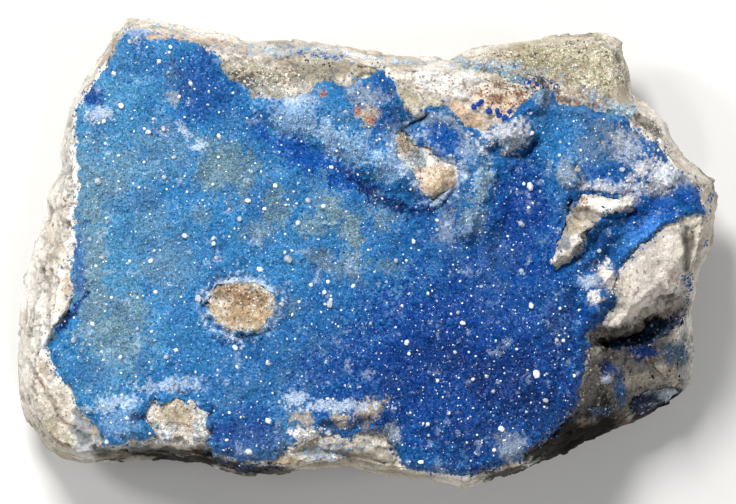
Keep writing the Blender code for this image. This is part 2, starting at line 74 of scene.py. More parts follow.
RIM = [
    (-28.8, 26.9), (-26.2, 26.6), (-22.0, 25.7), (-18.4, 24.2), (-14.2, 23.4), (-8.2, 23.5),
    (-2.2, 22.8), (3.8, 21.8), (9.8, 21.6), (15.8, 21.1), (20.0, 20.9), (22.1, 19.4), (27.8, 17.5),
    (31.4, 16.3), (34.1, 14.4), (35.6, 12.0), (37.4, 9.6), (39.6, 7.9), (40.4, 5.0), (39.8, 1.4),
    (38.9, -1.9), (37.9, -4.6), (34.4, -6.7), (31.4, -8.4), (29.3, -9.7), (27.4, -10.3), (26.2, -12.0),
    (26.0, -14.8), (25.7, -17.5), (24.0, -20.4), (21.6, -23.0), (18.8, -25.0), (15.8, -25.9),
    (11.6, -27.1), (5.0, -26.2), (-2.2, -24.6), (-9.4, -25.4), (-15.4, -25.7), (-19.0, -24.5),
    (-25.0, -23.5), (-31.0, -23.4), (-34.6, -24.0), (-37.2, -22.6), (-39.1, -19.6), (-40.0, -16.0),
    (-39.6, -11.8), (-38.2, -7.0), (-36.2, 0.2), (-35.6, 4.4), (-35.6, 11.0), (-35.3, 16.4),
    (-33.8, 19.7), (-31.4, 23.0), (-30.2, 25.2),
]
CRUST_EDGE = [
    (-30.7, 23.3), (-29.5, 25.9), (-27.8, 27.0), (-24.4, 26.3), (-20.2, 25.2), (-18.2, 23.3),
    (-16.3, 20.4), (-13.9, 18.2), (-8.2, 18.5), (-5.2, 19.9), (-2.2, 20.2), (0.5, 21.3), (1.6, 22.0),
    (2.9, 20.6), (3.7, 18.6), (4.7, 16.4), (5.9, 16.0), (7.2, 17.0), (8.8, 17.2), (10.2, 16.2),
    (11.6, 14.8), (13.4, 14.3), (15.0, 15.2), (16.8, 16.2), (18.4, 17.4), (19.4, 18.5), (20.8, 19.2),
    (22.0, 18.4), (23.3, 17.6), (26.6, 17.0), (29.6, 16.6), (32.0, 14.7), (34.0, 13.2), (36.0, 11.0),
    (38.6, 9.4), (40.1, 7.4), (40.0, 4.6), (38.0, 4.0), (35.0, 2.4), (32.6, 0.8), (30.5, -1.2),
    (29.4, -4.0), (29.3, -6.4), (28.1, -8.2), (26.6, -9.7), (25.8, -12.0), (25.6, -15.1), (25.2, -17.6),
    (23.5, -20.5), (21.2, -22.9), (18.6, -24.8), (15.6, -25.7), (11.6, -26.8), (7.4, -26.3),
    (4.6, -25.8), (2.0, -22.3), (-2.2, -21.8), (-6.7, -22.1), (-9.4, -23.8), (-11.5, -24.9),
    (-15.4, -25.2), (-18.0, -24.4), (-19.3, -22.8), (-18.8, -21.4), (-19.8, -20.2), (-19.4, -18.9),
    (-21.2, -17.6), (-23.2, -17.2), (-24.8, -17.9), (-26.2, -17.3), (-27.1, -19.6), (-25.6, -21.8),
    (-28.6, -23.0), (-31.6, -22.8), (-32.4, -20.8), (-34.6, -17.8), (-36.2, -15.6), (-38.6, -11.7),
    (-36.7, -7.9), (-35.3, -5.3), (-35.5, -2.8), (-35.2, -0.4), (-34.9, 6.2), (-34.8, 12.2),
    (-35.0, 16.4), (-34.1, 18.8), (-32.4, 21.2),
]
BARE_KNOB = [
    (-19.0, -4.7), (-17.5, -3.8), (-14.8, -3.6), (-12.7, -4.0), (-11.3, -5.3), (-11.5, -7.9),
    (-13.4, -9.7), (-16.0, -9.6), (-18.0, -8.4), (-19.2, -6.5),
]
BARE_CREST = [
    (22.1, -1.2), (22.6, 1.4), (23.8, 4.4), (24.5, 6.2), (25.7, 7.3), (28.6, 7.0), (31.7, 6.5),
    (31.0, 5.0), (28.1, 4.0), (26.6, 2.6), (25.4, 0.6), (23.8, -1.6), (22.6, -2.3),
]
BARE_KNUCKLE = [
    (3.4, 14.6), (5.0, 15.1), (5.9, 12.7), (8.6, 11.3), (10.7, 10.1), (10.4, 7.7), (7.9, 6.6),
    (6.5, 7.4), (5.0, 9.6), (3.4, 11.3),
]
BARE_HOLES = [BARE_KNOB, BARE_CREST, BARE_KNUCKLE]
HOLLOW_CRUST = [
    (28.6, -10.8), (30.4, -10.3), (32.6, -9.2), (34.6, -8.0), (36.6, -7.8), (37.2, -8.8), (35.0, -10.6),
    (32.4, -11.6), (29.6, -12.0),
]
VEIN_CRUST = [
    (31.0, -18.8), (32.2, -17.6), (34.1, -16.8), (36.0, -16.6), (36.9, -17.2), (35.5, -18.2),
    (33.6, -19.1), (31.9, -19.4),
]
UPPER_LEDGE = [
    (-20.2, 30.0), (-19.7, 24.7), (-17.0, 20.2), (-12.7, 15.4), (-10.0, 13.7), (-6.7, 12.7),
    (-2.2, 9.8), (0.5, 7.9), (3.6, 6.2), (7.0, 5.3), (9.4, 5.5), (11.0, 7.2), (10.8, 10.1), (8.2, 12.2),
    (6.2, 13.9), (4.8, 15.9), (6.6, 16.6), (8.6, 17.2), (10.4, 16.0), (12.2, 14.6), (14.4, 14.0),
    (15.1, 12.7), (17.3, 12.0), (19.4, 12.7), (21.1, 14.9), (20.8, 17.5), (21.6, 19.7), (21.6, 30.0),
]
LEDGE_CROWN = [
    (-20.6, 30.0), (-17.5, 23.0), (-16.3, 20.9), (-13.4, 18.9), (-8.2, 18.9), (-2.2, 20.3), (2.9, 21.6),
    (5.0, 19.8), (10.1, 19.6), (14.6, 17.0), (18.2, 17.9), (20.6, 20.2), (21.2, 30.0),
]
GREEN_RIDGE = [
    (10.1, 12.2), (13.4, 12.7), (14.9, 11.3), (15.1, 8.4), (14.4, 5.3), (13.2, 2.4), (11.3, 0.7),
    (10.1, 2.6), (10.6, 5.6), (11.3, 8.0),
]
DEEP_POCKET = [
    (15.1, 11.0), (17.8, 11.8), (20.2, 12.5), (22.1, 11.0), (23.8, 7.4), (23.0, 4.4), (21.8, 0.2),
    (20.6, -4.0), (17.3, -4.8), (14.4, -1.9), (13.7, 1.4), (14.6, 5.0), (15.4, 8.0),
]
BOWL = [
    (21.2, 19.2), (23.8, 17.5), (26.9, 16.6), (28.3, 14.6), (29.3, 12.2), (31.2, 10.3), (30.5, 8.2),
    (27.8, 7.7), (25.4, 8.2), (23.8, 9.1), (21.6, 12.2), (20.6, 14.6),
]
CREST = [
    (21.4, -1.2), (22.1, 1.9), (23.3, 4.8), (24.2, 6.7), (25.7, 7.7), (28.6, 7.4), (32.6, 6.7),
    (32.6, 4.8), (29.3, 3.6), (27.6, 2.4), (26.2, 0.5), (24.2, -1.7), (22.3, -2.6),
]
VALLEY = [
    (24.2, -2.4), (26.4, 0.2), (28.1, 2.2), (31.4, 4.1), (33.1, 6.2), (32.6, 8.9), (34.1, 10.1),
    (36.0, 8.4), (38.6, 6.7), (39.8, 4.6), (37.7, 3.8), (34.6, 2.2), (31.9, 0.5), (30.0, -1.7),
    (28.6, -3.4), (26.4, -4.8), (24.5, -4.3),
]
MOUND = [
    (31.2, 12.2), (33.8, 13.2), (36.0, 11.3), (38.6, 9.8), (40.1, 8.4), (37.9, 7.9), (36.0, 7.0),
    (33.8, 6.2), (32.6, 7.9),
]
SLAB = [
    (29.8, -1.9), (31.9, 0.2), (34.8, 1.9), (37.9, 3.6), (39.4, 3.1), (39.1, 0.7), (38.4, -1.9),
    (37.0, -4.1), (34.1, -5.8), (32.2, -7.2), (30.5, -9.8), (28.6, -9.8), (27.8, -8.4), (29.3, -6.5),
    (29.3, -4.1),
]
CLUSTER = [
    (25.2, -1.2), (27.8, -2.2), (29.3, -4.6), (29.0, -7.2), (27.6, -8.9), (25.9, -8.4), (24.5, -6.5),
    (24.0, -3.6),
]
HOLLOW = [
    (27.1, -10.1), (29.3, -9.8), (31.4, -8.4), (33.8, -6.5), (36.7, -5.3), (38.6, -5.8), (38.4, -7.9),
    (36.0, -9.3), (33.8, -11.0), (31.2, -11.9), (28.6, -12.2),
]
SPUR = [
    (27.6, -18.7), (29.3, -16.6), (32.6, -14.6), (36.0, -13.7), (38.6, -14.4), (37.9, -16.1),
    (35.0, -16.3), (31.7, -18.0), (29.3, -19.7), (26.9, -20.6), (25.7, -21.1),
]
LEFT_PAD = [
    (-32.6, -20.2), (-32.2, -17.8), (-28.8, -17.3), (-26.2, -16.3), (-22.6, -16.6), (-19.4, -17.3),
    (-18.7, -20.2), (-18.7, -22.6), (-20.6, -23.4), (-26.2, -23.4), (-30.7, -23.5), (-32.4, -22.6),
]
LOWER_LEDGE = [
    (-9.8, -24.0), (-9.6, -21.1), (-8.6, -19.0), (-4.6, -19.2), (-1.4, -18.0), (1.9, -17.5),
    (2.4, -20.2), (3.4, -23.5), (2.9, -28.0), (-2.2, -28.0), (-8.2, -28.0),
]
GROOVE = [(-6.7, -20.2), (-2.8, -19.9), (1.0, -19.4), (1.4, -21.4), (-2.2, -21.8), (-6.0, -21.8)]
KNOB = [
    (-19.8, -5.0), (-18.5, -3.6), (-15.6, -3.0), (-12.7, -3.2), (-11.0, -4.3), (-10.3, -6.2),
    (-10.8, -8.6), (-12.7, -10.1), (-15.6, -10.4), (-18.0, -9.4), (-19.4, -7.7),
]
RELIEF = [
    (UPPER_LEDGE, 2.7, 3.4), (LEDGE_CROWN, 1.2, 5.0), (GREEN_RIDGE, 1.5, 1.6), (DEEP_POCKET, -1.5, 2.2),
    (BOWL, -0.8, 1.6), (CREST, 3.0, 1.4), (VALLEY, -1.6, 1.8), (MOUND, 1.5, 1.4), (SLAB, 3.6, 1.3),
    (CLUSTER, 1.0, 1.2), (HOLLOW, -5.5, 1.5), (SPUR, 1.5, 1.4), (LEFT_PAD, 1.6, 1.0),
    (LOWER_LEDGE, 1.3, 1.2), (GROOVE, -1.0, 0.8), (KNOB, 2.3, 1.0),
]
PALE_SLOPE = [
    (3.0, 19.6), (3.9, 17.0), (5.2, 15.4), (6.6, 15.9), (8.4, 16.5), (10.0, 15.4), (11.8, 13.9),
    (13.6, 13.5), (15.4, 15.2), (19.0, 15.6), (21.4, 17.2), (21.4, 21.4), (3.0, 21.4),
]
PALE_SLOPE_TOP = 20.6
PALE_SLOPE_RISE = 2.5
PALE_SLOPE_FALL = 0.40
BLOCK = [
    (12.2, 24.0), (17.0, 27.0), (21.2, 28.0), (25.4, 29.0), (30.0, 29.0), (33.0, 25.0), (33.0, 22.8),
    (33.0, 18.4), (30.0, 17.3), (26.0, 17.8), (22.4, 19.2), (20.2, 20.9), (15.8, 21.8), (12.8, 22.8),
]
BLOCK_HEIGHT = 17.0
BLOCK_LEAN = 0.35
BLOCK_SLOPE = 2.2
SIDE_LEVELS = [0.0, 0.10, 0.26, 0.46, 0.66, 0.85, 1.0]
SIDE_WIDTHS = [0.88, 0.925, 0.955, 0.975, 0.985, 0.992, 1.0]
BREAKS = [
    (8, 12, 0.6), (32, 24, 2.4), (58, 9, 3.2), (78, 18, 0.8), (101, 7, 1.6), (124, 21, 2.6),
    (147, 10, 3.0), (166, 26, 1.0), (189, 13, 1.2), (212, 31, 3.4), (237, 8, 2.0), (256, 19, 1.8),
    (279, 28, 1.6), (301, 11, 2.2), (322, 22, 3.6), (344, 16, 1.4),
]
BREAK_LEVEL = 8.0
DEEPEST_BREAK = 0.24

# Finer forms. Cracks: the line each follows, half its width and its depth.
CRACKS = [
    ([(-12.7, 14.9), (-10.0, 13.2), (-6.7, 12.0), (-1.9, 9.4), (3.6, 5.6), (7.0, 4.8), (9.1, 5.0)],
     1.1, 0.7),
    ([(4.8, 15.2), (6.0, 15.9), (6.9, 16.2)], 0.32, 1.3),
    ([(4.7, 15.0), (5.2, 13.8), (5.8, 12.8), (6.0, 11.6), (6.8, 10.4)], 0.35, 0.9),
    ([(2.4, 6.0), (5.0, 5.3), (7.1, 5.0), (8.9, 5.6), (10.8, 7.4)], 0.45, 1.2),
    ([(15.5, 11.6), (15.7, 9.2), (15.5, 6.8), (14.6, 5.4)], 0.4, 1.0),
    ([(15.1, 12.7), (16.6, 11.5), (18.5, 11.9), (19.6, 13.2)], 0.6, 2.2),
    ([(23.9, 6.5), (25.2, 4.6), (27.8, 3.8), (31.4, 4.7)], 0.45, 1.4),
    ([(24.5, -0.7), (26.4, 1.0), (28.6, 2.6), (30.5, 3.6)], 0.7, 1.2),
    ([(25.1, 9.8), (25.4, 8.4)], 0.45, 1.6),
    ([(32.2, 16.2), (33.5, 15.4), (34.7, 14.4)], 0.5, 1.8),
    ([(37.9, 3.0), (38.2, 0.4), (38.0, -2.2)], 0.3, 1.0),
    ([(-34.9, -5.8), (-36.7, -8.4), (-38.2, -11.3)], 0.5, 1.2),
    ([(27.1, -10.3), (29.3, -10.3), (31.4, -9.2), (33.2, -7.8), (36.0, -6.6), (38.4, -6.1)], 0.7, 2.2),
    ([(28.3, -17.6), (28.7, -19.0)], 0.5, 1.0),
    ([(-32.4, -23.9), (-28.6, -24.4), (-24.4, -24.1), (-20.2, -24.0), (-17.0, -25.3)], 0.6, 1.8),
    ([(-16.8, -25.7), (-14.2, -26.2), (-9.8, -25.9)], 0.5, 1.2),
    ([(12.2, 22.8), (15.8, 21.5), (20.2, 20.5), (23.0, 18.6), (27.8, 17.2), (31.7, 16.1)], 0.4, 0.8),
    ([(-39.4, -1.2), (-38.2, -4.6), (-38.4, -7.9)], 0.3, 0.6),
    ([(-37.2, 4.8), (-37.0, 1.4), (-38.2, -1.2)], 0.3, 0.5),
    ([(-41.0, -13.0), (-38.8, -16.0), (-36.7, -20.2), (-33.6, -22.6)], 0.3, 0.6),
    ([(-8.2, -24.0), (-4.6, -23.8), (-2.2, -24.5), (1.9, -25.2)], 0.35, 0.7),
]

# Lumps: middle, radius and height.
LUMPS = [
    (16.4, 14.2, 2.5, 1.4), (23.9, 9.2, 1.2, 1.1), (33.8, 9.2, 1.4, 0.8), (36.8, 9.8, 1.5, 0.9),
    (38.9, 8.4, 0.9, 0.6), (28.6, -15.4, 0.7, 0.7), (28.4, -5.5, 0.9, 0.9), (19.1, -23.5, 1.0, 0.7),
    (27.8, -2.8, 1.0, 0.8), (26.0, -5.8, 1.1, 0.7), (33.6, -7.9, 0.6, 0.6), (26.6, -7.4, 0.8, 0.6),
]

# Colours of the rock, as red, green and blue out of 255.
WHITE_ROCK = (255, 252, 246)
CREAM = (252, 243, 230)
SMOOTH_GREY = (218, 208, 198)
PEACH = (214, 184, 154)
BEIGE = (198, 187, 169)
OLIVE_ROCK = (192, 184, 158)
SAND = (188, 170, 138)
TAN = (176, 138, 102)
RUST = (172, 102, 66)
MOSS = (154, 150, 118)
STONE = (150, 145, 127)
SHADE_BROWN = (124, 116, 106)
UMBER = (110, 108, 104)
DARK_BROWN = (28, 24, 20)

# Colours of the crystals.
ICE = (244, 250, 255)
PEARL = (206, 206, 208)
FROST = (198, 213, 228)
FROST_GREY = (156, 166, 174)
MIST = (156, 184, 198)
PALE_BLUE = (140, 176, 208)
OLIVE_HAZE = (118, 142, 144)
HAZE = (114, 142, 156)
SMOKE = (112, 124, 136)
TURQUOISE = (82, 146, 182)
AZURE = (72, 140, 216)
SLATE = (72, 100, 128)
SKY_BLUE = (46, 122, 178)
MID_BLUE = (28, 95, 154)
INK = (24, 34, 58)
BALL_BLUE = (20, 58, 140)
BRIGHT_BLUE = (14, 80, 158)
DEEP_BLUE = (8, 60, 136)
NAVY = (8, 34, 88)

# Patches of colour: middle, half width, half height, tilt, colour and strength.
CRUST_PATCHES = [
    (-31.0, 4.0, 8.0, 24.0, 0, TURQUOISE, 0.75), (-18.0, 0.0, 14.0, 22.0, 0, TURQUOISE, 0.25),
    (-16.0, -2.0, 9.0, 12.0, 30, SKY_BLUE, 0.55), (-1.0, -2.0, 7.0, 5.0, 0, SKY_BLUE, 0.35),
    (-24.0, 16.0, 6.0, 6.0, 0, SKY_BLUE, 0.45), (-24.4, 7.2, 3.6, 2.8, 0, SKY_BLUE, 0.6),
    (-33.2, -3.0, 2.0, 9.0, 0, HAZE, 0.75), (-32.6, 8.0, 2.6, 5.0, 0, HAZE, 0.55),
    (-29.6, -11.0, 4.0, 5.0, 0, HAZE, 0.4), (-26.0, 2.0, 2.4, 7.0, 12, HAZE, 0.30),
    (-29.4, 10.0, 2.0, 4.0, -10, HAZE, 0.45), (-29.4, -8.2, 2.6, 4.6, 0, OLIVE_HAZE, 0.5),
    (-23.0, -2.0, 4.0, 3.0, 0, HAZE, 0.35), (-25.0, 12.0, 3.0, 3.4, 0, HAZE, 0.4),
    (16.0, -4.0, 13.0, 12.0, 0, DEEP_BLUE, 0.55), (12.0, -15.0, 16.0, 11.0, 0, DEEP_BLUE, 0.8),
    (-6.0, -14.0, 12.0, 8.0, 0, DEEP_BLUE, 0.3), (16.8, -15.4, 5.5, 3.8, 0, NAVY, 0.7),
    (9.0, -12.0, 4.0, 3.0, 20, NAVY, 0.4), (21.0, -19.0, 4.0, 3.0, 0, NAVY, 0.45),
    (22.6, -10.4, 3.0, 5.0, 0, NAVY, 0.4), (4.0, -16.0, 3.6, 3.0, 0, NAVY, 0.3),
    (-17.4, 10.2, 3.4, 4.0, 20, OLIVE_HAZE, 0.7), (-11.2, 5.6, 1.8, 2.8, 0, OLIVE_HAZE, 0.7),
    (-13.6, 2.6, 1.8, 1.5, 0, OLIVE_HAZE, 0.6), (-6.6, 3.6, 2.0, 1.6, 20, OLIVE_HAZE, 0.6),
    (-4.2, 5.6, 1.2, 2.2, 25, OLIVE_HAZE, 0.75), (-1.9, 2.4, 1.4, 2.2, 10, OLIVE_HAZE, 0.8),
    (1.8, 4.4, 1.3, 1.6, 0, OLIVE_HAZE, 0.6), (-5.8, -0.8, 1.6, 1.4, 0, OLIVE_HAZE, 0.7),
    (-2.8, -1.6, 2.8, 1.6, -20, OLIVE_HAZE, 0.6), (-23.0, 21.2, 1.6, 1.8, 0, OLIVE_HAZE, 0.4),
    (2.2, -1.6, 1.8, 1.0, 0, OLIVE_HAZE, 0.45), (-20.4, 4.4, 1.4, 1.2, 0, OLIVE_HAZE, 0.45),
    # Partly painted shade: from the deep-blue patch at the end of the next line to the bright-blue ones,
    # the crust's deep blue is laid where the slope of the upper ledge is in shade. The navy strokes after
    # them are painted shadow in the crease at the ledge's foot.
    (-8.6, -6.4, 1.6, 1.2, 0, OLIVE_HAZE, 0.45), (-19.8, 19.8, 3.4, 4.6, 0, DEEP_BLUE, 0.7),
    (-16.4, 16.0, 3.6, 2.6, -40, MID_BLUE, 0.7), (-8.2, 12.0, 5.0, 2.0, -30, BRIGHT_BLUE, 0.95),
    (-3.0, 9.2, 4.4, 1.6, -35, BRIGHT_BLUE, 0.9), (2.4, 6.0, 4.4, 0.9, -25, NAVY, 0.8),
    (-1.0, 8.4, 2.6, 0.6, -32, NAVY, 0.7), (7.0, 5.0, 3.0, 0.7, 0, NAVY, 0.6),
    (-33.0, 18.2, 1.2, 1.2, 0, DEEP_BLUE, 0.9), (-33.6, -14.8, 2.7, 1.8, -15, MID_BLUE, 0.55),
    # Painted shadow: the navy stroke at the end of the next line is the shadow of the pale rock's edge on
    # the crust.
    (-32.4, 16.4, 1.6, 1.0, 0, FROST, 0.8), (-36.2, -8.4, 3.8, 0.5, 55, NAVY, 0.95),
    (-8.4, 16.2, 4.6, 2.2, -25, PALE_BLUE, 0.9), (-9.4, 19.0, 4.0, 1.2, -10, FROST, 0.75),
    (-2.4, 13.2, 5.0, 2.0, -25, PALE_BLUE, 0.9), (-4.6, 17.6, 2.6, 1.6, 0, SKY_BLUE, 0.6),
    (2.6, 10.4, 2.4, 1.8, 0, PALE_BLUE, 0.7), (3.6, 13.8, 1.6, 2.6, 0, PALE_BLUE, 0.6),
    (-0.2, 18.6, 2.6, 1.2, 0, FROST_GREY, 0.75), (1.6, 20.2, 1.6, 1.4, 0, DEEP_BLUE, 0.4),
    (-5.4, 18.9, 0.45, 0.45, 0, RUST, 0.8), (0.2, 16.3, 1.4, 1.2, -30, SAND, 0.85),
    (-1.2, 16.9, 0.5, 0.5, 0, RUST, 0.8), (0.3, 15.8, 0.6, 0.45, 0, RUST, 0.8),
    (2.4, 16.0, 1.6, 1.6, 0, BRIGHT_BLUE, 0.5), (9.2, 13.8, 3.2, 2.8, 0, BRIGHT_BLUE, 0.8),
    (8.0, 16.0, 2.6, 0.7, 0, FROST_GREY, 0.5), (10.6, 15.0, 1.8, 0.6, -38, FROST_GREY, 0.6),
    (12.4, 12.4, 1.6, 1.2, -35, FROST_GREY, 0.4), (13.9, 8.8, 1.2, 3.4, 0, MIST, 0.85),
    (12.4, 4.0, 1.6, 2.6, 0, HAZE, 0.6), (9.6, 3.0, 1.6, 1.6, 0, FROST_GREY, 0.45),
    (18.6, 5.0, 3.4, 6.5, 0, DEEP_BLUE, 0.85), (16.4, 14.1, 2.9, 2.2, 0, PEARL, 0.95),
    (17.0, 13.0, 1.6, 0.9, 0, FROST_GREY, 0.6), (23.0, 13.6, 3.0, 5.0, 0, SKY_BLUE, 0.75),
    (28.6, 14.2, 3.0, 1.9, -25, SMOKE, 0.55), (29.4, 12.0, 2.0, 1.4, -20, FROST_GREY, 0.25),
    (26.0, 12.0, 1.6, 1.6, 0, SHADE_BROWN, 0.25), (28.0, 9.6, 2.2, 1.2, 0, BRIGHT_BLUE, 0.6),
    (23.9, 9.4, 1.3, 1.6, 0, FROST_GREY, 0.7), (29.6, 16.6, 1.0, 0.8, 0, TURQUOISE, 0.8),
    (20.8, 18.4, 1.5, 1.2, 0, FROST_GREY, 0.5), (31.2, 12.8, 1.8, 2.2, 30, PEARL, 0.45),
    (32.4, 9.6, 1.0, 2.4, -40, CREAM, 0.55), (31.4, 6.8, 1.4, 1.9, 0, PEARL, 0.7),
    (35.8, 8.8, 2.9, 2.2, 20, PEARL, 0.95), (35.6, 8.8, 2.3, 1.7, 20, ICE, 0.5),
    (28.5, 7.7, 3.2, 0.6, -8, PEARL, 0.8), (37.8, 8.8, 2.0, 1.2, -25, FROST_GREY, 0.8),
    (39.4, 6.6, 0.8, 1.8, 0, BRIGHT_BLUE, 0.9), (34.6, 5.0, 4.2, 1.8, 20, BRIGHT_BLUE, 0.95),
    (33.2, 2.9, 2.9, 1.4, 35, AZURE, 0.7), (28.2, 1.2, 2.6, 1.6, 35, NAVY, 0.35),
    (26.6, -3.4, 1.2, 1.0, 0, FROST, 0.7), (28.4, -3.2, 1.6, 1.8, 0, FROST_GREY, 0.7),
    (28.8, -2.8, 1.1, 1.9, 20, CREAM, 0.85), (27.0, -5.5, 0.9, 1.0, 0, CREAM, 0.85),
    (-34.6, -2.0, 0.7, 3.6, 0, BRIGHT_BLUE, 0.6), (-5.4, -7.2, 4.6, 3.2, 0, MID_BLUE, 0.6),
    (26.4, -8.0, 2.2, 1.8, 0, BRIGHT_BLUE, 0.8), (22.4, 0.0, 0.9, 5.0, 0, BRIGHT_BLUE, 0.8),
    (24.4, -6.0, 1.0, 2.6, 0, NAVY, 0.5), (-30.4, -20.4, 2.4, 2.4, 0, BRIGHT_BLUE, 0.4),
    (-29.0, -18.0, 3.0, 1.0, 0, PALE_BLUE, 0.6), (-29.8, -20.2, 2.6, 2.2, 0, PALE_BLUE, 0.45),
    # Painted shadow: the navy band at the start of the next line is the shadow at the foot of the knob.
    (-15.6, -10.4, 3.6, 0.8, 0, NAVY, 0.6), (-9.8, -7.0, 0.9, 2.4, 0, NAVY, 0.4),
    (-3.2, -20.6, 3.0, 0.9, 0, SLATE, 0.8), (-7.2, -22.2, 2.6, 1.1, 0, CREAM, 0.8),
    (0.1, -18.8, 2.2, 1.2, 18, SAND, 0.85), (-3.2, -20.0, 1.0, 0.9, 0, SAND, 0.7),
    (-7.8, -19.8, 1.4, 1.0, 0, SAND, 0.75), (0.4, -21.8, 1.6, 1.1, -35, SHADE_BROWN, 0.8),
    (2.8, -21.8, 1.1, 1.4, 0, FROST_GREY, 0.8), (-4.0, -18.4, 5.6, 0.6, 0, FROST, 0.7),
    (-8.6, -17.6, 1.6, 1.0, 0, FROST, 0.6), (-14.0, -22.4, 5.0, 2.4, 0, FROST_GREY, 0.2),
    (-17.4, -21.4, 1.4, 1.6, 0, DEEP_BLUE, 0.6), (-12.0, -21.0, 1.8, 1.0, 0, NAVY, 0.6),
    (-23.2, 18.5, 0.8, 0.9, 0, FROST_GREY, 0.7), (-22.0, 14.4, 1.5, 0.5, -60, FROST, 0.6),
    (-20.2, 12.5, 0.9, 0.7, 0, FROST, 0.7), (17.0, -23.2, 1.8, 1.8, 0, FROST_GREY, 0.7),
    (12.0, -22.4, 4.6, 2.8, 0, NAVY, 0.4), (-15.0, -21.6, 3.6, 3.4, 0, DEEP_BLUE, 0.6),
    (-24.0, -16.0, 3.6, 0.9, 4, FROST, 0.6), (-30.8, -18.2, 3.2, 0.8, 14, FROST, 0.6),
    (-27.3, -19.8, 1.2, 0.6, 0, NAVY, 0.8), (-27.6, 26.6, 2.6, 1.0, 0, FROST, 0.6),
    (-25.4, 25.8, 2.1, 0.45, 8, PEACH, 0.95), (-21.4, 25.6, 3.0, 0.45, -10, PEACH, 0.9),
    (-27.0, 23.0, 3.0, 2.4, 0, DEEP_BLUE, 0.35),
]
# The next patches are painted shade: dark umber and brown where the steep flanks of the lower rims and the
# lower right side turn away from the light.
PAINTED_SHADE_PATCHES = [
    (31.0, -14.6, 8.0, 6.0, 0, UMBER, 0.85), (27.4, -19.0, 5.0, 3.4, 30, UMBER, 0.9),
    (33.0, -20.2, 9.6, 1.9, 23, DARK_BROWN, 0.97), (24.6, -23.2, 9.4, 3.2, 28, DARK_BROWN, 0.98),
    (17.0, -26.6, 4.0, 1.2, 15, DARK_BROWN, 0.9), (-25.0, -23.9, 7.0, 0.7, 0, UMBER, 0.9),
    (-22.0, -25.1, 9.6, 0.9, -4, DARK_BROWN, 0.95), (-13.0, -26.4, 4.0, 0.9, 0, DARK_BROWN, 0.85),
]
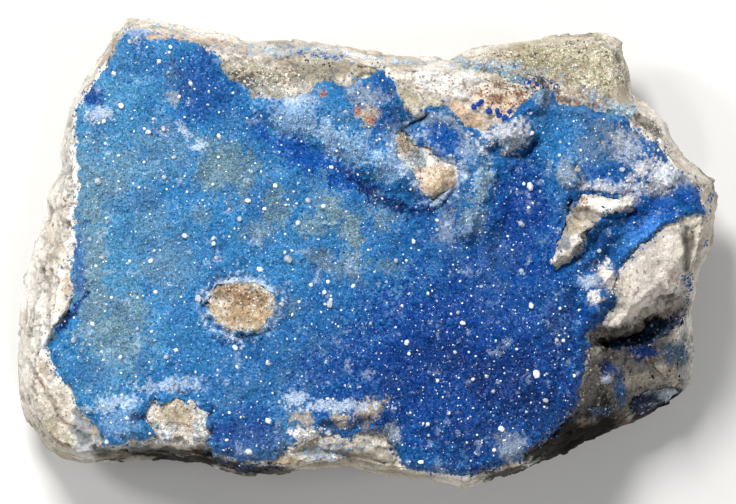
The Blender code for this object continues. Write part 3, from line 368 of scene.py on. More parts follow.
ROCK_PATCHES = [
    (-38.0, -6.0, 5.0, 22.0, 0, CREAM, 1.0), (-36.0, 16.0, 3.0, 12.0, 0, WHITE_ROCK, 1.0),
    (-40.4, -8.0, 2.6, 12.0, 0, WHITE_ROCK, 0.7), (-38.6, -20.0, 4.0, 5.0, 0, BEIGE, 0.7),
    (22.6, 23.6, 11.0, 5.6, 0, OLIVE_ROCK, 1.0), (21.0, 22.4, 3.4, 1.6, -10, MOSS, 0.6),
    (28.0, 20.4, 3.0, 1.6, -20, MOSS, 0.45), (-14.0, 20.6, 4.0, 2.4, 0, STONE, 0.8),
    (-6.0, 21.4, 6.0, 1.8, 0, STONE, 0.8), (-14.0, 21.6, 3.0, 1.2, 0, OLIVE_ROCK, 0.5),
    (-1.0, 22.0, 3.6, 1.0, 0, SAND, 0.5), (4.8, 18.4, 1.7, 2.6, 0, OLIVE_ROCK, 0.85),
    (9.4, 20.3, 5.4, 1.9, -10, WHITE_ROCK, 1.0), (15.4, 19.6, 4.0, 1.4, -8, CREAM, 0.6),
    (16.0, 18.0, 3.2, 1.2, -10, PEACH, 0.8), (11.6, 16.2, 2.6, 1.1, -38, PEACH, 0.85),
    (7.6, 18.0, 2.0, 0.9, 0, OLIVE_ROCK, 0.5), (-9.4, 24.1, 7.6, 0.9, -4, FROST_GREY, 0.6),
    (15.0, 22.3, 6.4, 0.7, -5, TURQUOISE, 0.4), (24.6, 18.2, 4.0, 0.9, -24, PEACH, 0.85),
    (24.6, 18.4, 3.4, 0.4, -24, CREAM, 0.8), (29.6, 17.0, 3.0, 0.8, -20, PALE_BLUE, 0.4),
    (33.0, 15.4, 2.4, 1.4, -30, CREAM, 0.8), (36.0, 14.0, 2.0, 3.0, 0, CREAM, 0.7),
    (34.6, 14.2, 2.2, 0.7, -40, DARK_BROWN, 0.7), (41.2, 4.0, 1.2, 5.0, 0, BEIGE, 0.7),
    (-15.2, -6.2, 4.4, 3.6, 0, SAND, 0.9), (-15.4, -5.2, 2.4, 0.9, -15, TAN, 0.7),
    (-17.2, -6.0, 1.0, 1.3, 0, CREAM, 0.6), (-13.6, -8.0, 2.4, 1.0, 10, SAND, 0.5),
    (-15.0, -6.4, 3.4, 2.6, 0, TAN, 0.45), (26.4, 6.0, 2.4, 0.9, -15, CREAM, 0.85),
    (29.2, 5.2, 2.2, 0.9, -10, CREAM, 0.9), (23.2, 2.6, 1.3, 3.4, 0, SMOKE, 0.8),
    (24.4, 3.6, 1.2, 2.0, -30, SAND, 0.6), (23.6, -1.4, 1.0, 1.2, 0, OLIVE_ROCK, 0.7),
    (34.0, -2.6, 5.0, 5.0, 0, SMOOTH_GREY, 0.95), (30.6, -7.4, 2.2, 2.4, 0, SMOOTH_GREY, 0.9),
    (30.0, -4.4, 1.4, 2.0, 0, OLIVE_ROCK, 0.5), (38.1, 0.2, 0.4, 2.8, 0, SHADE_BROWN, 0.7),
    (4.4, 13.0, 1.2, 2.0, 0, SAND, 0.8), (4.2, 11.6, 0.9, 0.9, 0, CREAM, 0.7),
    (8.2, 8.6, 2.6, 1.9, 0, PEACH, 0.8), (5.6, 11.2, 1.5, 1.1, 0, FROST_GREY, 0.8),
    (8.6, 8.2, 1.2, 0.8, 0, SAND, 0.6), (9.9, 9.4, 0.7, 0.9, 0, SAND, 0.8),
    (-23.2, -19.6, 2.4, 2.0, 0, SAND, 0.8), (0.0, -22.6, 3.6, 1.6, 0, BEIGE, 0.4),
    (-7.0, -22.6, 2.4, 1.0, 0, BEIGE, 0.6), (-10.0, -24.8, 2.0, 0.9, 0, BEIGE, 0.6),
    (1.0, -24.6, 2.6, 1.3, 0, FROST_GREY, 0.7), (-3.4, -25.0, 3.0, 1.2, 0, SAND, 0.5),
    # Partly painted shade: on the lower right side, the shade-brown and dark-brown patches from here on
    # darken the rock both for its own colour and for the shade that side lies in.
    (29.4, -13.0, 2.4, 2.0, 30, SHADE_BROWN, 0.6), (33.2, -15.0, 4.2, 1.0, 22, BEIGE, 0.8),
    (30.6, -18.6, 1.6, 1.6, 40, SHADE_BROWN, 0.6), (38.2, -12.6, 0.8, 5.0, 0, FROST_GREY, 0.6),
    (33.2, -11.6, 1.9, 1.4, 20, DEEP_BLUE, 0.9), (36.8, -12.4, 1.9, 1.4, 0, SLATE, 0.7),
    (30.2, -16.4, 0.7, 2.2, 5, MID_BLUE, 0.6), (28.7, -15.4, 0.7, 0.5, 20, FROST, 0.8),
    (28.8, -14.0, 0.9, 0.8, 0, DEEP_BLUE, 0.6), (28.2, -19.1, 1.2, 0.6, 0, SLATE, 0.6),
    # Painted shadow: the dark-brown band at the end of the next line is the shadow in the hollow under the
    # slab.
    (28.6, -19.2, 1.2, 0.9, 0, DARK_BROWN, 0.6), (32.6, -9.6, 5.4, 1.3, 15, DARK_BROWN, 0.95),
    (-34.2, -22.0, 1.5, 3.2, 10, FROST_GREY, 0.8), (-34.0, -19.2, 1.5, 0.8, 0, SHADE_BROWN, 0.7),
    (-38.4, -22.8, 4.0, 2.0, -38, OLIVE_ROCK, 0.9), (-39.0, -21.0, 1.6, 1.2, -30, MOSS, 0.6),
    # Painted shade: the shade-brown mark at the start of the next line darkens a crack near the left edge.
    (-38.6, -14.2, 1.5, 0.8, -40, SHADE_BROWN, 0.5), (-35.8, -4.6, 1.7, 1.2, 0, PEACH, 0.6),
    (-37.6, -0.4, 0.8, 3.6, -8, BEIGE, 0.5), (-9.6, -25.2, 2.2, 0.9, -8, SAND, 0.9),
    (0.8, -24.8, 2.8, 1.2, -14, SAND, 0.55), (-5.4, -23.6, 3.6, 1.6, 0, FROST_GREY, 0.7),
    (-6.6, -22.4, 2.0, 0.6, 0, SAND, 0.8), (-18.0, 25.2, 3.0, 0.5, -10, PEACH, 0.8),
]

# Where the rock is smoother: middle, half width, half height and tilt.
SMOOTH_PLACE = (34.0, -2.0, 4.4, 4.8, 0)

# Specks scattered over the rock: middle, half width, half height, colour and how many.
SPECKS = [
    (-6.0, 22.5, 2.6, 0.8, DARK_BROWN, 24), (-9.0, 21.0, 5.0, 1.2, TAN, 60),
    (16.4, 18.8, 3.6, 1.3, RUST, 110), (8.0, 20.0, 4.0, 1.4, TAN, 90), (15.4, 19.4, 3.8, 1.2, TAN, 110),
    (16.4, 17.4, 2.2, 0.8, UMBER, 40), (22.6, 23.0, 10.0, 4.6, MOSS, 900),
    (22.6, 23.0, 10.0, 4.6, CREAM, 900), (22.6, 22.6, 9.0, 4.0, UMBER, 160),
    (22.6, 22.6, 9.0, 4.4, TAN, 300), (-38.0, -10.0, 4.0, 15.0, TAN, 160),
    (-38.0, -10.0, 4.0, 15.0, BEIGE, 260), (-15.2, -5.4, 3.2, 1.6, UMBER, 130),
    (-15.2, -6.4, 3.8, 3.0, CREAM, 110), (-15.0, -6.4, 3.8, 3.0, TAN, 120),
    (-23.2, -19.6, 2.8, 2.2, UMBER, 20), (-23.2, -19.6, 2.8, 2.2, CREAM, 90),
    (34.0, -2.6, 4.6, 4.6, BEIGE, 160), (-12.0, 20.8, 4.4, 1.6, SHADE_BROWN, 40),
    (-12.0, 20.8, 5.0, 1.8, CREAM, 260), (25.8, 6.0, 0.6, 0.6, RUST, 26),
    (24.8, 18.0, 3.6, 0.8, RUST, 24), (8.0, 8.8, 2.4, 1.6, TAN, 40), (4.4, 13.0, 1.1, 1.9, TAN, 50),
    (31.0, -15.0, 7.0, 5.0, BEIGE, 240), (31.0, -15.0, 7.0, 5.0, DARK_BROWN, 200),
    (35.4, 14.4, 3.0, 2.4, CREAM, 120), (35.4, 14.4, 3.0, 2.4, UMBER, 80),
    (-35.6, 14.0, 1.6, 9.0, BEIGE, 90),
]

# Bare rock that is dusted with grains: middle, half width, half height, tilt, colour and share covered.
DUSTED = [
    (-9.4, 24.1, 7.8, 0.9, -4, PALE_BLUE, 0.45), (-5.6, 23.6, 3.6, 0.5, -6, MID_BLUE, 0.6),
    (15.0, 22.3, 6.4, 0.7, -5, PALE_BLUE, 0.55), (2.6, 23.0, 5.0, 0.3, -6, PALE_BLUE, 0.6),
    (17.6, 20.9, 4.4, 0.5, -14, TURQUOISE, 0.9), (-11.0, 18.9, 5.0, 1.2, 0, FROST_GREY, 0.45),
    (20.6, 20.2, 1.8, 0.9, -20, DEEP_BLUE, 0.7), (33.2, -11.6, 1.8, 1.3, 20, DEEP_BLUE, 1.0),
    (36.8, -12.4, 1.9, 1.4, 0, SLATE, 0.7), (28.8, -14.0, 0.9, 0.8, 0, DEEP_BLUE, 0.8),
    (30.2, -16.4, 0.7, 2.2, 5, MID_BLUE, 0.8), (28.2, -19.1, 1.2, 0.6, 0, SLATE, 0.8),
    (27.6, 18.4, 3.0, 0.8, -24, PALE_BLUE, 0.4), (30.0, 17.0, 2.0, 1.0, 0, TURQUOISE, 0.6),
    (41.2, 6.0, 0.5, 0.9, 0, MID_BLUE, 0.8), (40.8, 0.8, 0.5, 0.8, 0, MID_BLUE, 0.9),
    (38.6, -3.6, 0.8, 1.2, 0, MID_BLUE, 0.8), (-24.6, -21.4, 2.0, 1.4, 0, FROST_GREY, 0.5),
    (-20.0, -20.8, 1.2, 2.0, 0, FROST_GREY, 0.7), (5.6, 11.2, 1.5, 1.1, 0, FROST_GREY, 0.8),
    (-19.6, 26.4, 5.0, 0.4, -8, PALE_BLUE, 0.8), (0.5, -20.0, 3.0, 1.4, 0, FROST, 0.5),
    (-13.6, -26.2, 5.0, 0.9, 0, NAVY, 0.9), (-5.0, -24.0, 3.4, 1.2, 0, PALE_BLUE, 0.35),
    (38.6, -6.4, 0.7, 2.4, 0, DEEP_BLUE, 0.5), (36.6, -8.4, 2.4, 0.9, 15, NAVY, 0.7),
]

# The small deep-blue balls on the white slope.
BLUE_BALLS = [
    (13.6, 18.1), (12.8, 17.3), (14.5, 16.9), (15.5, 17.0), (15.8, 16.3), (16.4, 16.0), (17.0, 16.8),
    (18.7, 16.7), (18.5, 17.2), (13.2, 17.8),
]

# The large clear crystals.
LARGE_CRYSTALS = [
    (-23.8, 23.9), (-25.0, 22.8), (-16.2, 19.0), (-22.6, 18.6), (-30.4, 21.4), (-29.6, 17.5),
    (-31.6, 15.7), (-26.2, 14.3), (-31.4, 13.0), (-26.8, 10.8), (-17.8, 13.8), (-17.9, 11.4),
    (-14.4, 6.2), (-12.4, 5.2), (-5.3, 5.5), (-8.4, 3.5), (-11.2, 8.0), (-10.0, 0.0), (-18.5, 1.6),
    (-22.0, 2.0), (-26.0, -1.1), (-6.8, -4.0), (-1.8, -4.1), (-4.4, -5.8), (-25.4, -4.8), (-32.6, -1.7),
    (-25.8, -9.5), (-33.0, -8.6), (-23.0, -11.8), (-31.8, -12.0), (-15.7, -13.8), (-17.2, -23.6),
    (-12.0, -20.2), (-14.2, -24.0), (8.3, 3.8), (5.4, 1.3), (19.4, 7.9), (4.1, -6.5), (23.0, -6.7),
    (19.6, -6.4), (4.7, -10.8), (8.3, -15.4), (17.8, -11.6), (20.2, -14.6), (16.0, -21.1), (7.2, -20.6),
    (11.3, -8.5), (23.4, -10.6),
]

# How fine the meshes are, and how far the crusts keep from the rim and reach into the rock.
ROCK_STEP = 0.20
STEEP_ROCK_STEP = 0.12
ROCK_EDGE_STEP = 0.30
UNDER_CRUST = 0.8
COARSE_STEP = 1.2
SIDE_ROWS = 32
BED_STEP = 0.22
CRUST_EDGE_STEP = 0.20
CRUST_TAPER = 1.1
CRUST_SETBACK = 0.25
CRUST_OVERLAP = 0.6
NEAR_BORDER = 1.0
STEEP_STEP = 0.06
STEEP_REACH = 1.9
STEEP_RISE = 2.6
STEEP_PROBE = 0.15

# How rough they are: size and height of each kind of roughness.
FACE_NOISE = [(14.0, 0.6), (4.5, 0.35)]
WANDER_NOISE = [(2.4, 0.50), (1.0, 0.30), (0.45, 0.17)]
PATCH_NOISE = [(0.7, 0.24), (0.24, 0.60)]
ROCK_NOISE = [(1.4, 0.05), (0.7, 0.045), (0.36, 0.07)]
ROCK_FACETS = [(3.8, 0.17), (1.7, 0.09), (0.8, 0.05)]
CRUST_NOISE = [(3.5, 0.25), (1.6, 0.15)]
BED_FACETS = [(1.0, 0.07), (0.5, 0.07)]

# How uneven the colours are: size and strength of each kind of cloud.
CRUST_CLOUDS = [(3.2, 0.6), (1.3, 0.5)]
ROCK_CLOUDS = [(5.0, 0.6), (1.7, 0.4)]
ROCK_GRAIN = [(0.7, 0.16), (0.3, 0.22)]
CLOUD_SHARE = 0.30
CRUST_SHADE = 0.84
# The hollow's crust keeps a fifth of the crust's colour: painted shade for the depth of the hollow under
# the slab.
HOLLOW_PAINTED_SHADE = 0.20

# Layers of small blue crystals: spacing, radius and the share that is pale.
GRAIN_LAYERS = [("blue_grains", 0.29, 0.092, 0.02), ("small_grains", 0.28, 0.070, 0.05)]

# Single grains: their spacing, the share that is pale, and their radius where they grow.
SINGLE_STEP = 0.26
PALE_SHARE = 0.1
SPECK_RADIUS = 0.078
BORDER_RADIUS = 0.105
SIDE_CRUST_RADIUS = 0.11

# Layers of clear crystals: look, spacing, size and how much the size varies. The lift is how far they
# stand out, as a share of their size.
CLEAR_LAYERS = [
    # Partly painted highlights: the tiny and small crystals are white and nearly opaque, milky crystals
    # that also stand in for the glints of the crust.
    ("tiny_crystals", "white_crystal", 1.15, 0.048, 0.50),
    ("small_crystals", "white_crystal", 3.0, 0.095, 0.42),
    ("clear_crystals", "clear_crystal", 6.0, 0.20, 0.30),
]
CLEAR_LIFT = 0.7
LARGE_SIZE = 0.25
LARGE_SPREAD = 0.22
LARGE_LIFT = 0.6

# The balls: rings of points from pole to pole, points in a ring, and the smallest radius.
BALL_RINGS = 7
BALL_SIDES = 14
BALL_RADIUS = 0.30

# The stage, in metres. Lights: place, size and power.
LIGHTS = [
    ("key", (-0.18, 0.48, 0.80), 0.20, 10.4),
    ("top_left", (-0.55, 0.25, 0.62), 0.14, 2.8),
    ("right", (0.60, -0.05, 0.55), 0.12, 1.0),
    ("below", (0.10, -0.42, 0.82), 0.10, 1.4),
]
WORLD_STRENGTH = 0.33
WORLD_COLOUR = (0.92, 0.95, 1.0, 1.0)
FLOOR_COLOUR = (0.62, 0.61, 0.59, 1.0)
FLOOR_REACH = 1.5
CAMERA_HEIGHT = 2.475
PROBE_HEIGHT = 0.05


def linear(colour):
    """A colour out of 255 as linear light."""
    share = np.asarray(colour, float) / 255.0
    return np.where(share <= 0.04045, share / 12.92, ((share + 0.055) / 1.055) ** 2.4)


def smooth_step(value):
    value = np.clip(value, 0.0, 1.0)
    return value * value * (3.0 - 2.0 * value)


def segment_distance(points, start, end):
    """Distance to the line between two corners, and the share of it passed where it is nearest."""
    base = np.array(start[:2])
    along = np.array(end[:2]) - base
    share = np.clip((points - base) @ along / (along @ along), 0.0, 1.0)
    return np.hypot(*(points - base - share[:, None] * along).T), share


def edge_distance(points, outline):
    """Distance to the nearest edge of the outline, and the value carried by that edge's points."""
    best = np.full(len(points), FAR)
    carried = np.zeros(len(points))
    corners = [tuple(corner) + (0.0,) * (3 - len(corner)) for corner in outline]
    for start, end in zip(corners, corners[1:] + corners[:1]):
        apart, share = segment_distance(points, start, end)
        closer = apart < best
        best[closer] = apart[closer]
        carried[closer] = (start[2] + share * (end[2] - start[2]))[closer]
    return best, carried


def line_distance(points, line):
    return np.min([segment_distance(points, start, end)[0] for start, end in zip(line, line[1:])], axis=0)


def is_inside(points, outline):
    inside = np.zeros(len(points), bool)
    x, y = points.T
    corners = [corner[:2] for corner in outline]
    for (x0, y0), (x1, y1) in zip(corners, corners[1:] + corners[:1]):
        if y0 != y1:
            crosses = (y0 > y) != (y1 > y)
            inside ^= crosses & (x < (x1 - x0) * (y - y0) / (y1 - y0) + x0)
    return inside


def signed_distance(points, outline):
    distance = edge_distance(points, outline)[0]
    return np.where(is_inside(points, outline), distance, -distance)


def smooth_noise(points, size, seed):
    """Random values from -1 to 1 that change over about size millimetres, in the view from above."""
    table = np.random.default_rng(seed).uniform(-1.0, 1.0, (64, 64))
    place = points / size + 32.0
    cell = np.floor(place).astype(int)
    share = smooth_step(place - cell)
    column, row = (cell % 63).T
    low = table[row, column] * (1 - share[:, 0]) + table[row, column + 1] * share[:, 0]
    high = table[row + 1, column] * (1 - share[:, 0]) + table[row + 1, column + 1] * share[:, 0]
    return low * (1 - share[:, 1]) + high * share[:, 1]


def solid_noise(points, size, seed):
    """Random values from -1 to 1 that change over about size millimetres, all round the rock."""
    table = np.random.default_rng(seed).uniform(-1.0, 1.0, (32, 32, 32))
    place = points / size
    cell = np.floor(place).astype(int)
    far = smooth_step(place - cell).T
    near = 1.0 - far
    total = np.zeros(len(points))
    for corner in np.ndindex(2, 2, 2):
        a, b, c = ((cell + corner) % 32).T
        x, y, z = (far[axis] if corner[axis] else near[axis] for axis in range(3))
        total += x * y * z * table[a, b, c]
    return total


def facets(points, size, seed, low=-FAR, high=FAR):
    """Heights of a surface broken into tilted flat faces about size millimetres across."""
    rng = np.random.default_rng(seed)
    middles = rng.uniform(0.0, 1.0, (4096, 3))
    tilts = rng.normal(0.0, 1.0, (4096, 3))
    place = points / size
    cell = np.floor(place).astype(int)
    nearest = np.full(len(points), FAR)
    height = np.zeros(len(points))
    for step in np.ndindex(3, 3, 3):
        beside = cell + np.array(step) - 1
        index = (beside @ np.array((73, 1579, 3571))) % 4096
        away = place - beside - middles[index]
        apart = (away ** 2).sum(axis=1)
        closer = apart < nearest
        nearest[closer] = apart[closer]
        height[closer] = (away * tilts[index]).sum(axis=1)[closer]
    return np.clip(height, low, high)


def level_facets(points, size, seed):
    """Facets whose steepest faces are cut off."""
    return facets(points, size, seed, -1.5, 1.5)


def mixed(noise, points, kinds, seed, base=0.0):
    """Noises of several sizes and heights, added to the base one after the other."""
    return sum((height * noise(points, size, seed + i) for i, (size, height) in enumerate(kinds)), base)


def pale_slope_lift(points, height):
    """How far the white slope lifts the rock, where the rock is lower than it."""
    even = FACE_HEIGHT + PALE_SLOPE_RISE - PALE_SLOPE_FALL * np.maximum(PALE_SLOPE_TOP - points[:, 1], 0.0)
    on_slope = smooth_step(signed_distance(points, PALE_SLOPE) / 0.9)
    return np.maximum(even - height, 0.0) * on_slope


def rock_height(points):
    """Height of the bare rock at each point of the view from above, as the solids have it."""
    to_rim = signed_distance(points, RIM)
    to_edge, edge_height = edge_distance(points, OUTLINE)
    lower_right = smooth_step((points[:, 0] - points[:, 1] - 5.0) / 30.0)
    near_rim = np.exp(-np.maximum(to_rim, 0.0) / ROUNDING_REACH)
    height = mixed(smooth_noise, points, FACE_NOISE, SEED, FACE_HEIGHT)
    height = height - ROUNDING * near_rim * (LEAST_ROUNDING + (1.0 - LEAST_ROUNDING) * lower_right)
    for outline, rise, slope in RELIEF:
        height += rise * smooth_step(signed_distance(points, outline) / slope)
    height += pale_slope_lift(points, height)
    beyond = np.maximum(-to_rim, 0.0)
    share = beyond / np.maximum(beyond + to_edge, 1e-6)
    height = height + (edge_height - height) * share
    block = smooth_step(signed_distance(points, BLOCK) / BLOCK_SLOPE)
    leaning = BLOCK_HEIGHT - BLOCK_LEAN * (points[:, 1] - BLOCK[0][1])
    height = height + (leaning - height) * block * smooth_step(to_edge / 2.0)
    roughness = 0.28 * smooth_noise(points, 2.2, SEED + 2) * smooth_step(to_edge / 1.5)
    return height + roughness


def wander(points):
    """How far each point strays sideways, so that ledges and borders are ragged."""
    return np.column_stack([mixed(smooth_noise, points, WANDER_NOISE, SEED + seed) for seed in (30, 40)])


def crack_depth(points):
    """Depth of the cracks and grooves at each point."""
    depth = np.zeros(len(points))
    for line, half_width, deepest in CRACKS:
        width = half_width * (1.0 + 0.5 * smooth_noise(points, 1.3, SEED + 50))
        near = smooth_step(1.0 - line_distance(points, line) / (2.0 * width))
        depth = np.maximum(depth, deepest * near)
    return depth


def face_height(points):
    """Height of the rock with its ragged ledges, cracks and lumps."""
    to_edge = edge_distance(points, OUTLINE)[0]
    strayed = points + wander(points) * smooth_step((to_edge - 1.1) / 1.4)[:, None]
    height = rock_height(strayed) - crack_depth(strayed) * smooth_step(to_edge / 1.2)
    for x, y, radius, rise in LUMPS:
        share = np.hypot(*(strayed - (x, y)).T) / radius
        height += rise * np.clip(1.0 - share ** 2, 0.0, 1.0) ** 0.7
    return height


def inside_crust(points):
    """Distance to the ragged border of the blue crust, positive on the crust."""
    strayed = points + wander(points)
    distance = signed_distance(strayed, CRUST_EDGE)
    for hole in BARE_HOLES:
        distance = np.minimum(distance, -signed_distance(strayed, hole))
    return np.minimum(distance, signed_distance(points, RIM) - CRUST_SETBACK)


def inside_hollow(points):
    return signed_distance(points + wander(points), HOLLOW_CRUST)


def inside_vein(points):
    return signed_distance(points + wander(points), VEIN_CRUST)


def fine_raggedness(points, seed):
    """How far the border of a patch strays grain by grain, in the view from above or in space."""
    noise = solid_noise if points.shape[1] == 3 else smooth_noise
    return mixed(noise, points, PATCH_NOISE, seed)


def patch_share(points, patch, seed, ragged):
    """How much a patch of colour covers each point, with a ragged border."""
    x, y, half_width, half_height, tilt = patch[:5]
    turn = math.radians(tilt)
    along = (points[:, 0] - x) * math.cos(turn) + (points[:, 1] - y) * math.sin(turn)
    across = (points[:, 1] - y) * math.cos(turn) - (points[:, 0] - x) * math.sin(turn)
    out = np.hypot(along / half_width, across / half_height)
    small = min(half_width, half_height)
    lobes = 0.34 * smooth_noise(points[:, :2], 0.6 * small + 0.4, seed)
    return smooth_step((1.15 - out + lobes + ragged) / 0.45)


def blend(low, high, share):
    """Colours between low and high, by each point's share."""
    return low + (high - low) * share[:, None]


def lay_patches(points, colours, patches, seed, grainy=1.0):
    """The colours with patches laid over them in turn."""
    ragged = grainy * fine_raggedness(points, seed - 2)
    for number, patch in enumerate(patches):
        share = patch[6] * patch_share(points, patch, seed + number, ragged)
        colours = blend(colours, linear(patch[5]), share)
    return colours


def frost_share(points, grain):
    """How much frost covers the crust: rings round two bare places, and scattered tufts."""
    strayed = points + wander(points)
    ring = np.min([-signed_distance(strayed, hole) for hole in (BARE_KNOB, BARE_KNUCKLE)], axis=0)
    frosted = 0.85 * smooth_step(1.2 - ring / 1.1 + 0.9 * grain)
    frosted *= smooth_step(0.6 + smooth_noise(points, 0.9, SEED + 62))
    tufts = 0.3 * smooth_step((smooth_noise(points, 1.2, SEED + 63) - 0.70) / 0.2 + 1.2 * grain)
    return np.maximum(frosted, tufts)


def crust_colour(points):
    """Colour of the crust at each point of the view from above."""
    x, y = points.T
    colours = blend(linear(SKY_BLUE), linear(MID_BLUE), smooth_step((x + 30.0 - 0.5 * y) / 52.0))
    grain = smooth_noise(points, 0.25, SEED + 65)
    cloud = 1.6 * (mixed(smooth_noise, points, CRUST_CLOUDS, SEED + 60) + 0.3 * grain)
    colours = blend(colours, linear(HAZE), CLOUD_SHARE * smooth_step(cloud - 0.1))
    colours = lay_patches(points, colours, CRUST_PATCHES, SEED + 200)
    colours = blend(colours, linear(DEEP_BLUE), CLOUD_SHARE * smooth_step(-cloud - 0.1))
    return CRUST_SHADE * blend(colours, linear(FROST), frost_share(points, grain))


def fissures(points):
    """Fine cracks over the bare rock, 1 at their middle."""
    line = solid_noise(layer_place(points), 1.9, SEED + 95)
    line += 0.25 * solid_noise(points, 0.9, SEED + 96)
    broken = smooth_step(0.4 + 2.0 * solid_noise(points, 4.5, SEED + 97))
    return broken * smooth_step(1.0 - np.abs(line) / 0.10)


def layer_place(points):
    """Place in the layers of the rock, which follow its outline: how deep, and how far along."""
    corners = np.array(OUTLINE)[:, :2]
    lengths = np.hypot(*(np.roll(corners, -1, axis=0) - corners).T)
    passed = np.concatenate(([0.0], np.cumsum(lengths)[:-1]))
    measured = [(x, y, length) for (x, y), length in zip(corners.tolist(), passed)]
    reach, along = edge_distance(points[:, :2], measured)
    return np.column_stack((reach + 0.4 * points[:, 2], 0.22 * along, 0.1 * points[:, 2]))


def astray(points, along, across, size, seed):
    """Random moves of up to along millimetres in x and across millimetres in y."""
    moves = [along * solid_noise(points, size, seed), across * solid_noise(points, size, seed + 1)]
    return np.column_stack(moves + [np.zeros(len(points))])


def plain_colour(points, placed, near_top):
    """Colour of the rock without its patches, but with the painted shade of the dark rims, which fades
    down the sides.
    """
    cloud = mixed(solid_noise, points, ROCK_CLOUDS, SEED + 70)
    plain = blend(linear(BEIGE), linear(CREAM), smooth_step(0.6 + cloud))
    down = smooth_step((FACE_HEIGHT - 3.0 - points[:, 2]) / 10.0)
    hung = placed + down[:, None] * astray(points, 3.0, 0.8, 4.0, SEED + 78)
    # Painted shade: the dark rim patches laid over the plain colour.
    rim_shade = lay_patches(hung, plain, PAINTED_SHADE_PATCHES, SEED + 900, 0.4)
    return blend(plain, rim_shade, near_top * (1.0 - 0.5 * smooth_step((7.0 - points[:, 2]) / 5.0)))


def rock_colour(points, painted, near_top):
    """Colour of the bare rock; the patches and the painted shade of the dark rims show as strongly as the
    shares say.
    """
    placed = points + astray(points, 0.4, 0.4, 1.6, SEED + 76)
    plain = plain_colour(points, placed, near_top)
    colours = blend(plain, lay_patches(placed, plain, ROCK_PATCHES, SEED + 400), painted)
    rusty = smooth_step((solid_noise(points, 2.6, SEED + 72) - 0.45) / 0.4)
    colours = blend(colours, linear(TAN), 0.35 * rusty)
    fine = mixed(solid_noise, points, ROCK_GRAIN, SEED + 73, 1.0)
    fine += 0.20 * solid_noise(layer_place(points), 0.8, SEED + 75)
    fine = 1.0 + (fine - 1.0) * (0.3 + 0.7 * painted)
    return colours * (fine * (1.0 - 0.5 * fissures(points)))[:, None]


def resample(outline, step):
    """Points along a closed outline, every corner among them."""
    corners = [np.array(corner[:2], float) for corner in outline]
    points = []
    for start, end in zip(corners, corners[1:] + corners[:1]):
        count = max(1, round(float(np.hypot(*(end - start))) / step))
        points += [start + (end - start) * index / count for index in range(count)]
    return np.array(points)


def scattered(step, rng, jitter=0.32):
    """Points over the whole view, on a staggered grid that is shaken."""
    rows = np.arange(-29.5, 29.5, step * 0.866)
    columns = np.arange(-43.5, 43.5, step)
    x, y = np.meshgrid(columns, rows)
    x[1::2] += step / 2.0
    points = np.column_stack((x.ravel(), y.ravel()))
    return points + rng.uniform(-jitter, jitter, points.shape) * step


def inside_rings(points, rings):
    """Whether each point is inside the first ring and outside the others."""
    inside = is_inside(points, [tuple(point) for point in rings[0]])
    for ring in rings[1:]:
        inside &= ~is_inside(points, [tuple(point) for point in ring])
    return inside


def triangulate(rings, loose):
    """Delaunay triangles over the rings and the loose points, with every line of the rings kept."""
    points = []
    edges = []
    for ring in rings:
        first = len(points)
        points += [Vector(point) for point in ring]
        edges += [(first + i, first + (i + 1) % len(ring)) for i in range(len(ring))]
    points += [Vector(point) for point in loose]
    flat, _edges, faces, *_origins = delaunay_2d_cdt(points, edges, [], 0, 1e-7)
    flat = np.array([tuple(point) for point in flat])
    faces = np.array([face for face in faces if len(face) == 3])
    a, b, c = (flat[faces[:, i]] for i in range(3))
    turn = (b - a)[:, 0] * (c - a)[:, 1] - (b - a)[:, 1] * (c - a)[:, 0]
    faces[turn < 0] = faces[turn < 0][:, ::-1]
    faces = faces[np.abs(turn) > 1e-9]
    return flat, faces[inside_rings(flat[faces].mean(axis=1), rings)]


def split_quads(a, b, c, d):
    """Two triangles for each face with four corners."""
    return [np.column_stack((a, b, c)), np.column_stack((a, c, d))]


def point_normals(points, faces):
    a, b, c = (points[faces[:, i]] for i in range(3))
    across = np.cross(b - a, c - a)
    normals = np.zeros_like(points)
    for i in range(3):
        np.add.at(normals, faces[:, i], across)
    return normals / np.maximum(np.linalg.norm(normals, axis=1), 1e-9)[:, None]


def make_piece(name, points, faces, colours, material, node, smooth=True):
    mesh = bpy.data.meshes.new(name)
    mesh.vertices.add(len(points))
    mesh.vertices.foreach_set("co", (points * MM).ravel())
    mesh.loops.add(faces.size)
    mesh.loops.foreach_set("vertex_index", faces.ravel().astype(np.int32))
    mesh.polygons.add(len(faces))
    mesh.polygons.foreach_set("loop_start", np.arange(0, faces.size, 3, dtype=np.int32))
    mesh.polygons.foreach_set("use_smooth", np.full(len(faces), smooth))
    mesh.update(calc_edges=True)
    tint = mesh.color_attributes.new("tint", "FLOAT_COLOR", "POINT")
    opaque = np.column_stack((np.clip(colours, 0.0, 1.0), np.ones(len(points))))
    tint.data.foreach_set("color", opaque.ravel())
    mesh.materials.append(material)
    piece = bpy.data.objects.new(name, mesh)
    bpy.context.collection.objects.link(piece)
    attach(piece, "root")
    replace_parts(piece, node)
    return piece


def side_ring(edge, level, seed):
    """One ring round the rock below its edge, cut by the breaks and never wider than the outline."""
    angles = np.arctan2(edge[:, 1], edge[:, 0])
    circle = np.column_stack((np.cos(angles), np.sin(angles))) * 9.0
    width = np.interp(level, SIDE_LEVELS, SIDE_WIDTHS)
    scale = width + 0.014 * (smooth_noise(circle, 1.1, seed) - 0.6) * (1.0 - level)
    heights = edge[:, 2] * level
    for facing, lean, depth in BREAKS:
        turn, tilt = math.radians(facing), math.radians(lean)
        across = edge[:, :2] @ np.array((math.cos(turn), math.sin(turn)))
        reach = across.max() - depth + (heights - BREAK_LEVEL) * math.tan(tilt)
        facing_it = across > 1.0
        scale[facing_it] = np.minimum(scale[facing_it], reach[facing_it] / across[facing_it])
    scale = np.maximum(scale, 0.98 - DEEPEST_BREAK * (1.0 - level))
    scale = scale + (1.0 - scale) * smooth_step((level - 0.85) / 0.15)
    return np.column_stack((edge[:, :2] * scale[:, None], heights))


